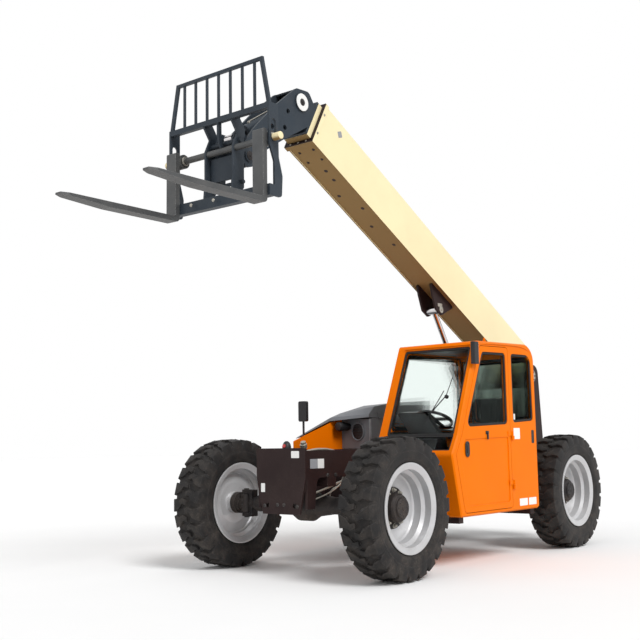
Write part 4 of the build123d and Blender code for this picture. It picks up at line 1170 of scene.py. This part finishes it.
chassis = {
    "plateFace": 0.385, "railFace": 0.300,
    "plateLabels": [(0.134, 0.230, 1.084, 1.148), (-0.245, -0.195, 0.770, 0.852)],
    "railLabel": (0.112, 0.205, 0.986, 1.073), "railPlate": (0.205, 0.313, 0.986, 1.073),
    "plateBolts": [(0.040, 0.656), (0.200, 0.645), (-0.040, 0.656), (-0.200, 0.645)],
    "railBolts": [(-0.06, 0.92), (0.06, 0.92), (-3.30, 1.06), (-3.46, 1.06)],
    "boomPin": (-4.100, 0.314, 2.020), "pinCircle": 0.055,
    # round cover at each axle's middle: the axle's station and the way that the cover looks
    "covers": [(0.0, 1), (-3.380, -1)], "coverOut": 0.146, "coverBoltOut": 0.155, "coverHeight": 0.635,
    "cover": [(-0.03, 0.062), (0.010, 0.062), (0.016, 0.054), (0.020, 0.030)], "coverCircle": 0.052,
    "lampFoot": (0.322, 0.025, 1.145),
    "dome": [(0.0, 0.048), (0.006, 0.048), (0.008, 0.042), (0.040, 0.042), (0.068, 0.036), (0.086, 0.024),
             (0.095, 0.010)],
    "lensOut": (0.036, 0, 0.048), "lens": [(-0.004, 0.020), (0.006, 0.019), (0.010, 0.014), (0.011, 0.006)],
    # tail lamps, from the middle of each
    "tailLamp": 0.48, "tailShell": [((-4.4645, -0.045, 1.020), (-4.420, 0.045, 1.080), 0.0)],
    "tailLens": (-0.038, 0.038, 1.026, 1.074), "tailFace": -4.4645,
    "coupling": (0.235, 0.165, 1.140), "couplingAxis": (0.4, 0.2, 1),
    "couplingProfile": [(0.0, 0.026), (0.035, 0.026), (0.038, 0.033), (0.075, 0.033), (0.078, 0.026),
                        (0.100, 0.024), (0.104, 0.016)],
    "steelLines": [(0.012, (0.23, 0.16, 1.135), (0.14, 0.17, 1.155), (0.02, 0.19, 1.160),
                    (-0.10, 0.20, 1.155), (-0.20, 0.21, 1.130)),
                   (0.011, (0.275, 0.284, 0.752), (0.12, 0.286, 0.785), (-0.10, 0.286, 0.838),
                    (-0.22, 0.286, 0.866), (-0.26, 0.286, 0.910)),
                   (0.008, (0.262, 0.284, 0.700), (0.10, 0.286, 0.730), (-0.08, 0.286, 0.790),
                    (-0.17, 0.286, 0.845), (-0.20, 0.286, 0.910))],
    "axleLine": [(0.008, (-0.19, 0.12, 0.690), (-0.19, 0.12, 0.760), (-0.26, 0.16, 0.800),
                  (-0.40, 0.22, 0.850), (-0.46, 0.278, 0.880))],
    "weightBolts": [(0.25, 0.66), (0.25, 1.06)], "weightFace": -4.450,
    "hitchPin": (-4.505, 0, 0.676),
    "hitchProfile": [(-0.02, 0.012), (-0.012, 0.0188), (0.050, 0.0188), (0.052, 0.030), (0.060, 0.030),
                     (0.062, 0.012)],
    "hitchRing": [(0.0045, (-4.505, -0.012, 0.736), (-4.505, -0.022, 0.771), (-4.505, 0.0, 0.788),
                   (-4.505, 0.022, 0.771), (-4.505, 0.012, 0.736))],
    "tankCap": (-1.00, -0.345, 1.056),
    "capProfile": [(0.0, 0.048), (0.012, 0.048), (0.014, 0.044), (0.036, 0.044), (0.042, 0.036)],
}


def fitFrameLabels():
    face, rail = chassis["plateFace"], chassis["railFace"]
    labels = [frontPlate(box, face - 0.0005, 0.0015, 0.006) for box in chassis["plateLabels"]]
    labels.append(sidePlate(chassis["railLabel"], rail - 0.0005, 0.0015, 0.004))
    fitted(labels, "frontLabels", "chassis", "seat_cover", "whitePaint")
    pale = sidePlate(chassis["railPlate"], rail - 0.0005, 0.0014, 0.004)
    fitted([pale], "railPlate", "chassis", "seat_cover", "palePlastic")


def fitChassisBolts():
    face, rail = chassis["plateFace"], chassis["railFace"]
    bolts = boltHeads([at(face, y, z) for y, z in chassis["plateBolts"]], (1, 0, 0), 0.013)
    x, y, z = chassis["boomPin"]
    for side in (1, -1):
        spots = [at(station, side * rail, height) for station, height in chassis["railBolts"]]
        bolts += boltHeads(spots, (0, side, 0), 0.014)
        spots = circled(at(x, side * y, z), chassis["pinCircle"], 6)
        bolts += boltHeads(spots, (0, side, 0), 0.008)
    for end, way in chassis["covers"]:
        height = chassis["coverHeight"]
        centre = at(end + way * chassis["coverOut"], 0, height)
        bolts.append(turned(centre, (way, 0, 0), chassis["cover"], 40))
        centre = at(end + way * chassis["coverBoltOut"], 0, height)
        spots = circled(centre, chassis["coverCircle"], 8, 0.2, across=True)
        bolts += boltHeads(spots, (way, 0, 0), 0.006)
    fitted(bolts, "chassisBolts", "chassis", "axle_iron")


# domed lamp on the top plate and a box for each tail lamp
def fitLamps():
    foot = at(*chassis["lampFoot"])
    housings = [turned(foot, (0, 0, 1), chassis["dome"], 40)]
    line = chassis["tailLamp"]
    for side in (1, -1):
        shell = shiftedBlocks(chassis["tailShell"], (0, side * line, 0))[0]
        editing(shell)
        pick("faces", lambda face: face.normal.x < -0.9)
        bpy.ops.mesh.inset(thickness=0.006)
        bpy.ops.mesh.extrude_region_move(TRANSFORM_OT_translate={"value": (0.003, 0, 0)})
        objectMode()
        housings.append(edged(shell, 0.0015))
    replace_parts(fitted(housings, "lampHousings", "chassis", "black_plastic"), "lamps")
    lens = turned(foot + Vector(chassis["lensOut"]), (1, 0, 0.25), chassis["lens"], 32)
    fitted([lens], "lampLens", "chassis", "black_plastic", "redLens")


def fitChassisFittings():
    fitFrameLabels()
    fitChassisBolts()
    fitLamps()
    # quick coupling and steel lines beside the lamp
    steel = [turned(at(*chassis["coupling"]), chassis["couplingAxis"],
                    chassis["couplingProfile"], 28)]
    steel += pipes(chassis["steelLines"])
    for side in (1, -1):
        steel += pipes(chassis["axleLine"], side)
    fitted(steel, "steelLines", "chassis", "steel")
    # tail lenses, hitch pin and counterweight bolts
    lenses, caps = [], []
    left, right, low, high = chassis["tailLens"]
    for side in (1, -1):
        y = side * chassis["tailLamp"]
        lenses.append(frontPlate((y + left, y + right, low, high), chassis["tailFace"], -0.006, 0.006,
                                 0.002))
        spots = [at(chassis["weightFace"], side * y, z) for y, z in chassis["weightBolts"]]
        caps += boltHeads(spots, (-1, 0, 0), 0.022)
    fitted(lenses, "tailLenses", "chassis", "black_plastic", "redLens")
    caps.append(turned(at(*chassis["hitchPin"]), (0, 0, 1), chassis["hitchProfile"], 24))
    fitted(caps + pipes(chassis["hitchRing"]), "hitchPinAndBolts", "chassis", "steel")
    cap = turned(at(*chassis["tankCap"]), (0, 0, 1), chassis["capProfile"], 32)
    fitted([cap], "tankCap", "chassis", "black_plastic")


fitChassisFittings()
print("chassis fittings on")

hood = {
    "oval": (-1.3825, -0.425, 1.335), "ovalHalf": (0.088, 0.106), "slats": 5, "slatPitch": 0.032,
    "slatHalf": 0.004, "slatFrom": 0.003, "slatTo": 0.009,
    # a black turned piece under the lid's front lip that paints the shadow of the brow, and its profile
    "intake": (-1.384, -0.560, 1.392),
    "intakeProfile": [(0.0, 0.0384), (0.03, 0.0384), (0.034, 0.0456), (0.1045, 0.0456), (0.1064, 0.048),
                      (0.178, 0.048), (0.19, 0.04128), (0.192, 0.0192)],
    "edgeBox": (-1.384, -1.352, 1.160, 1.468), "edgeAt": -0.2495,
    "stripBox": (-0.274, -0.248, 1.160, 1.468), "stripAt": -1.3825,
    # two boxes of one catch from its own middle, and where the catches sit on the lid
    "catch": [((-0.018, -1.156, -0.012), (0.018, -1.147, 0.030), 0.003),
              ((-0.011, -1.163, -0.006), (0.011, -1.154, 0.018), 0.004)],
    "catches": [(-1.62, 1.372), (-2.30, 1.474)],
    "coverSide": -1.150, "seam": [(-1.405, 1.304), (-1.415, 1.298), (-1.413, 0.66), (-1.405, 0.645)],
    "coverBolts": [(-1.46, 0.70), (-1.46, 1.20), (-2.50, 0.70), (-2.50, 1.38), (-2.0, 0.68)],
}


def fitHoodFittings():
    centre = at(*hood["oval"])
    half, tall = hood["ovalHalf"]
    rim = turned(centre, (1, 0, 0), [(0.0, tall), (0.010, tall), (0.016, tall - 0.006), (0.016, tall - 0.014),
                                     (0.004, tall - 0.020)], 48, hollow=True)
    dish = turned(centre, (1, 0, 0), [(0.0005, tall - 0.016), (0.003, tall - 0.018), (0.004, 0.03)], 48)
    for piece in (rim, dish):
        editing(piece)
        bpy.ops.mesh.select_all(action="SELECT")
        bpy.ops.transform.resize(value=(1, half / tall, 1), center_override=centre)
        objectMode()
    fitted([rim], "ovalRim", "chassis", "grey_plastic")
    grille, count = [dish], hood["slats"]
    near, far, thin = hood["slatFrom"], hood["slatTo"], hood["slatHalf"]
    for step in range(count):
        offset = (step - (count - 1) / 2) * hood["slatPitch"]
        reach = (half - 0.02) * math.sqrt(1 - (offset / (tall - 0.018)) ** 2)
        grille.append(block(centre + Vector((near, -reach, offset - thin)),
                            centre + Vector((far, reach, offset + thin)), 0.0015))
    fitted(grille, "ovalGrille", "chassis", "black_plastic")
    # painted shadow: a black piece where the lid's front lip shades the hollow below it
    intake = turned(at(*hood["intake"]), (1, 0, 0), hood["intakeProfile"], 40)
    fitted([intake], "paintedBrowShadow", "chassis", "black_plastic")
    edge = sidePlate(hood["edgeBox"], hood["edgeAt"], 0.004, 0.0, 0.001)
    strip = frontPlate(hood["stripBox"], hood["stripAt"], 0.004, 0.0, 0.001)
    fitted([edge, strip], "grilleEdge", "chassis", "grey_plastic", "palePlastic")
    latches = []
    for x, z in hood["catches"]:
        latches += shiftedBlocks(hood["catch"], (x, 0, z))
    fitted(latches, "lidCatches", "hood", "black_plastic")
    wall = hood["coverSide"]
    bolts = boltHeads(sideOutline(hood["coverBolts"], wall), (0, -1, 0), 0.009)
    seam = pipe(sideOutline(hood["seam"], wall), 0.0025)
    fitted([seam, *bolts], "coverSeam", "chassis", "black_plastic")


fitHoodFittings()
print("hood fittings on")

boom = {
    "pivot": (-4.100, 2.020), "angle": 28.0, "axisHeight": 0.178,
    "half": 0.170, "low": -0.057, "channel": 0.012, "collarEnd": 4.680, "collar": (0.182, 0.247),
    "holes": [(4.233, 0.02), (4.088, 0.02), (3.849, -0.08), (3.60, 0.06), (3.30, -0.02), (2.95, 0.05)],
    # the section of a dark disc set at each hole spot, which paints the shade inside the hole
    "plug": [(-0.001, 0.021), (0.001, 0.021), (0.0015, 0.012)],
    "padBolts": [(4.55, -0.09), (4.55, 0.09), (4.40, -0.09), (4.40, 0.09)],
    "retainerThick": 0.011, "retainerWide": 0.034, "retainerBolts": (-0.10, 0.0, 0.10), "boltInset": 0.017,
    "sideBolts": (4.655, 0.12),
    "label": (4.36, 0.30), "labelSize": 0.045,
    "liftPin": (-2.316, 2.720), "liftBase": (-3.500, 0.920), "liftPinFace": 0.103,
    "keeper": (-2.336, -2.246, 2.750, 2.790), "keeperFace": 0.1025,
    "headPin": (0.940, 3.820), "tiltBase": (0.190, 4.520), "tiltRod": (1.020, 3.990),
}


# a point along the boom: distance from its pivot, width and height over its line
def onBoom(u, y, v):
    slope = math.radians(boom["angle"])
    x, z = boom["pivot"]
    return at(x + u * math.cos(slope) - v * math.sin(slope), y, z + u * math.sin(slope) + v * math.cos(slope))


def pinEnd(spot, side, face, radius):
    x, z = spot
    return turned(at(x, side * face, z), (0, side, 0),
                  [(-0.002, radius), (0.006, radius), (0.009, radius * 0.86), (0.009, radius * 0.34),
                   (0.015, radius * 0.30), (0.018, radius * 0.14)], 36)


def fitBoomFittings():
    along, above = onBoom(1, 0, 0) - onBoom(0, 0, 0), onBoom(0, 0, 1) - onBoom(0, 0, 0)
    face = boom["low"] + boom["channel"]
    # dark discs at the hole spots paint the shade inside the holes of the boom's underside; then the pad
    # bolts
    holeShadesAndBolts = [turned(onBoom(u, y, face + 0.0005), -above, boom["plug"], 24) for u, y in boom["holes"]]
    holeShadesAndBolts += boltHeads([onBoom(u, y, face) for u, y in boom["padBolts"]], -above, 0.011)
    fitted(holeShadesAndBolts, "undersideHoleShadesAndBolts", "boom", "chassis_paint")
    wide, tall = boom["collar"]
    centre, end, thick = boom["axisHeight"], boom["collarEnd"], boom["retainerThick"]
    corners = [onBoom(end, y, centre + v) for y, v in rectangle(-wide, wide, -tall, tall)]
    retainer = plate(corners, along * thick, 0.006, border=boom["retainerWide"])
    fitted([edged(retainer, 0.0015)], "padRetainer", "boom", "chassis_paint")
    inset = tall - boom["boltInset"]
    spots = [onBoom(end + thick, y, centre + v) for y in boom["retainerBolts"] for v in (-inset, inset)]
    bolts = boltHeads(spots, along, 0.008)
    u, reach = boom["sideBolts"]
    for side in (1, -1):
        spots = [onBoom(u, side * wide, centre + v) for v in (-reach, reach)]
        bolts += boltHeads(spots, (0, side, 0), 0.010)
    fitted(bolts, "retainerBolts", "boom", "steel")
    u, v = boom["label"]
    size = boom["labelSize"]
    corners = [onBoom(u + a, boom["half"] - 0.0005, v + b)
               for a, b in ((size, 0), (0, size), (-size, 0), (0, -size))]
    fitted([plate(corners, (0, 0.0014, 0), 0.004)], "boomLabel", "boom", "grey_plastic", "palePlastic")
    pins = [pinEnd(boom["liftPin"], side, boom["liftPinFace"], 0.040) for side in (1, -1)]
    pins += [sidePlate(boom["keeper"], side * boom["keeperFace"], side * 0.006, 0.008, 0.001)
             for side in (1, -1)]
    fitted(pins, "liftPinEnds", "boom", "steel")


fitBoomFittings()

# each cylinder's pins, the barrel's reach and radius, the rod's radius and the paint
cylinders = {
    "lift": ("liftBase", "liftPin", 1.405, 0.068, 0.032, "chassis_paint"),
    "tilt": ("tiltBase", "tiltRod", 0.760, 0.050, 0.025, "slate_paint"),
}
cylinder = {
    "glandBack": 0.048, "ringAt": 0.075, "proud": 0.004, "bossFrom": 0.12, "bossTo": 0.10,
    "boss": [(0.0, 0.016), (0.014, 0.016), (0.015, 0.012), (0.022, 0.012)],
    "lineOut": 0.012, "lineBend": 0.05, "lineRadius": 0.006,
}


def fitCylinderFittings():
    proud = cylinder["proud"]
    for name, (base, end, reach, radius, rod, slot) in cylinders.items():
        start, finish = (at(boom[pin][0], 0, boom[pin][1]) for pin in (base, end))
        along = (finish - start).normalized()
        gland = turned(start + along * (reach - cylinder["glandBack"]), along,
                       [(0.0, radius), (0.002, radius + proud), (0.040, radius + proud),
                        (0.046, radius - 0.002), (0.0485, rod + 0.012), (0.0505, rod + 0.003)], 40)
        ring = turned(start + along * cylinder["ringAt"], along,
                      [(0.0, radius), (0.004, radius + proud), (0.016, radius + proud), (0.020, radius)], 40)
        fitted([gland, ring], f"{name}Gland", f"{name}_cylinder", slot)
        upward = Vector((-along.z, 0, along.x))
        if upward.z < 0:
            upward.negate()
        ends = cylinder["bossFrom"], reach - cylinder["bossTo"]
        lines = [turned(start + along * distance + upward * (radius - proud), upward,
                        cylinder["boss"], 16) for distance in ends]
        low, high = (start + along * distance + upward * (radius + cylinder["lineOut"])
                     for distance in ends)
        bend = along * cylinder["lineBend"]
        lines.append(pipe([low, low + bend, high - bend, high], cylinder["lineRadius"]))
        fitted(lines, f"{name}CylinderLine", f"{name}_cylinder", "steel")


fitCylinderFittings()
print("boom and cylinder fittings on")

head = {
    "face": 0.164, "tiltPin": 0.034, "headPin": 0.042,
    "washer": [(0.0, 0.087), (0.0045, 0.087), (0.006, 0.085), (0.006, 0.038), (0.0045, 0.036), (0.0, 0.036)],
}


def fitHeadFittings():
    x, z = boom["tiltBase"]
    washers, ends = [], []
    for side in (1, -1):
        washers.append(turned(at(x, side * head["face"], z), (0, side, 0), head["washer"], 48, hollow=True))
        ends.append(pinEnd(boom["tiltBase"], side, head["face"], head["tiltPin"]))
        ends.append(pinEnd(boom["headPin"], side, head["face"], head["headPin"]))
    fitted(washers, "pinWashers", "boom_inner", "silver_paint", "whitePaint")
    fitted(ends, "headPinEnds", "boom_inner", "axle_iron")


fitHeadFittings()

carriage = {
    "shaft": (1.140, 3.848), "sleeveFoot": 0.642,
    "sleeve": [(0.0, 0.034), (0.076, 0.034), (0.080, 0.028), (0.0805, 0.010)],
    "collarsAt": (0.472, 0.624), "collarHalf": 0.009,
    "collar": [(0.0, 0.0305), (0.0, 0.041), (0.002, 0.043), (0.016, 0.043), (0.018, 0.041), (0.018, 0.0305)],
    "barFace": 1.232, "barHeight": 3.384, "barBolts": [-0.013, -0.30, 0.30],
}


def fitCarriageFittings():
    x, z = carriage["shaft"]
    sleeves, bolts = [], []
    for side in (1, -1):
        sleeves.append(turned(at(x, side * carriage["sleeveFoot"], z), (0, side, 0), carriage["sleeve"], 32))
        for y in carriage["collarsAt"]:
            foot = at(x, side * y - carriage["collarHalf"], z)
            bolts.append(turned(foot, (0, 1, 0), carriage["collar"], 32, hollow=True))
    fitted(sleeves, "shaftSleeves", "carriage", "cream_paint")
    spots = [at(carriage["barFace"] - 0.0005, y, carriage["barHeight"]) for y in carriage["barBolts"]]
    fitted(bolts + boltHeads(spots, (1, 0, 0), 0.012), "carriageBolts", "carriage", "steel")


fitCarriageFittings()
print("head and carriage fittings on")
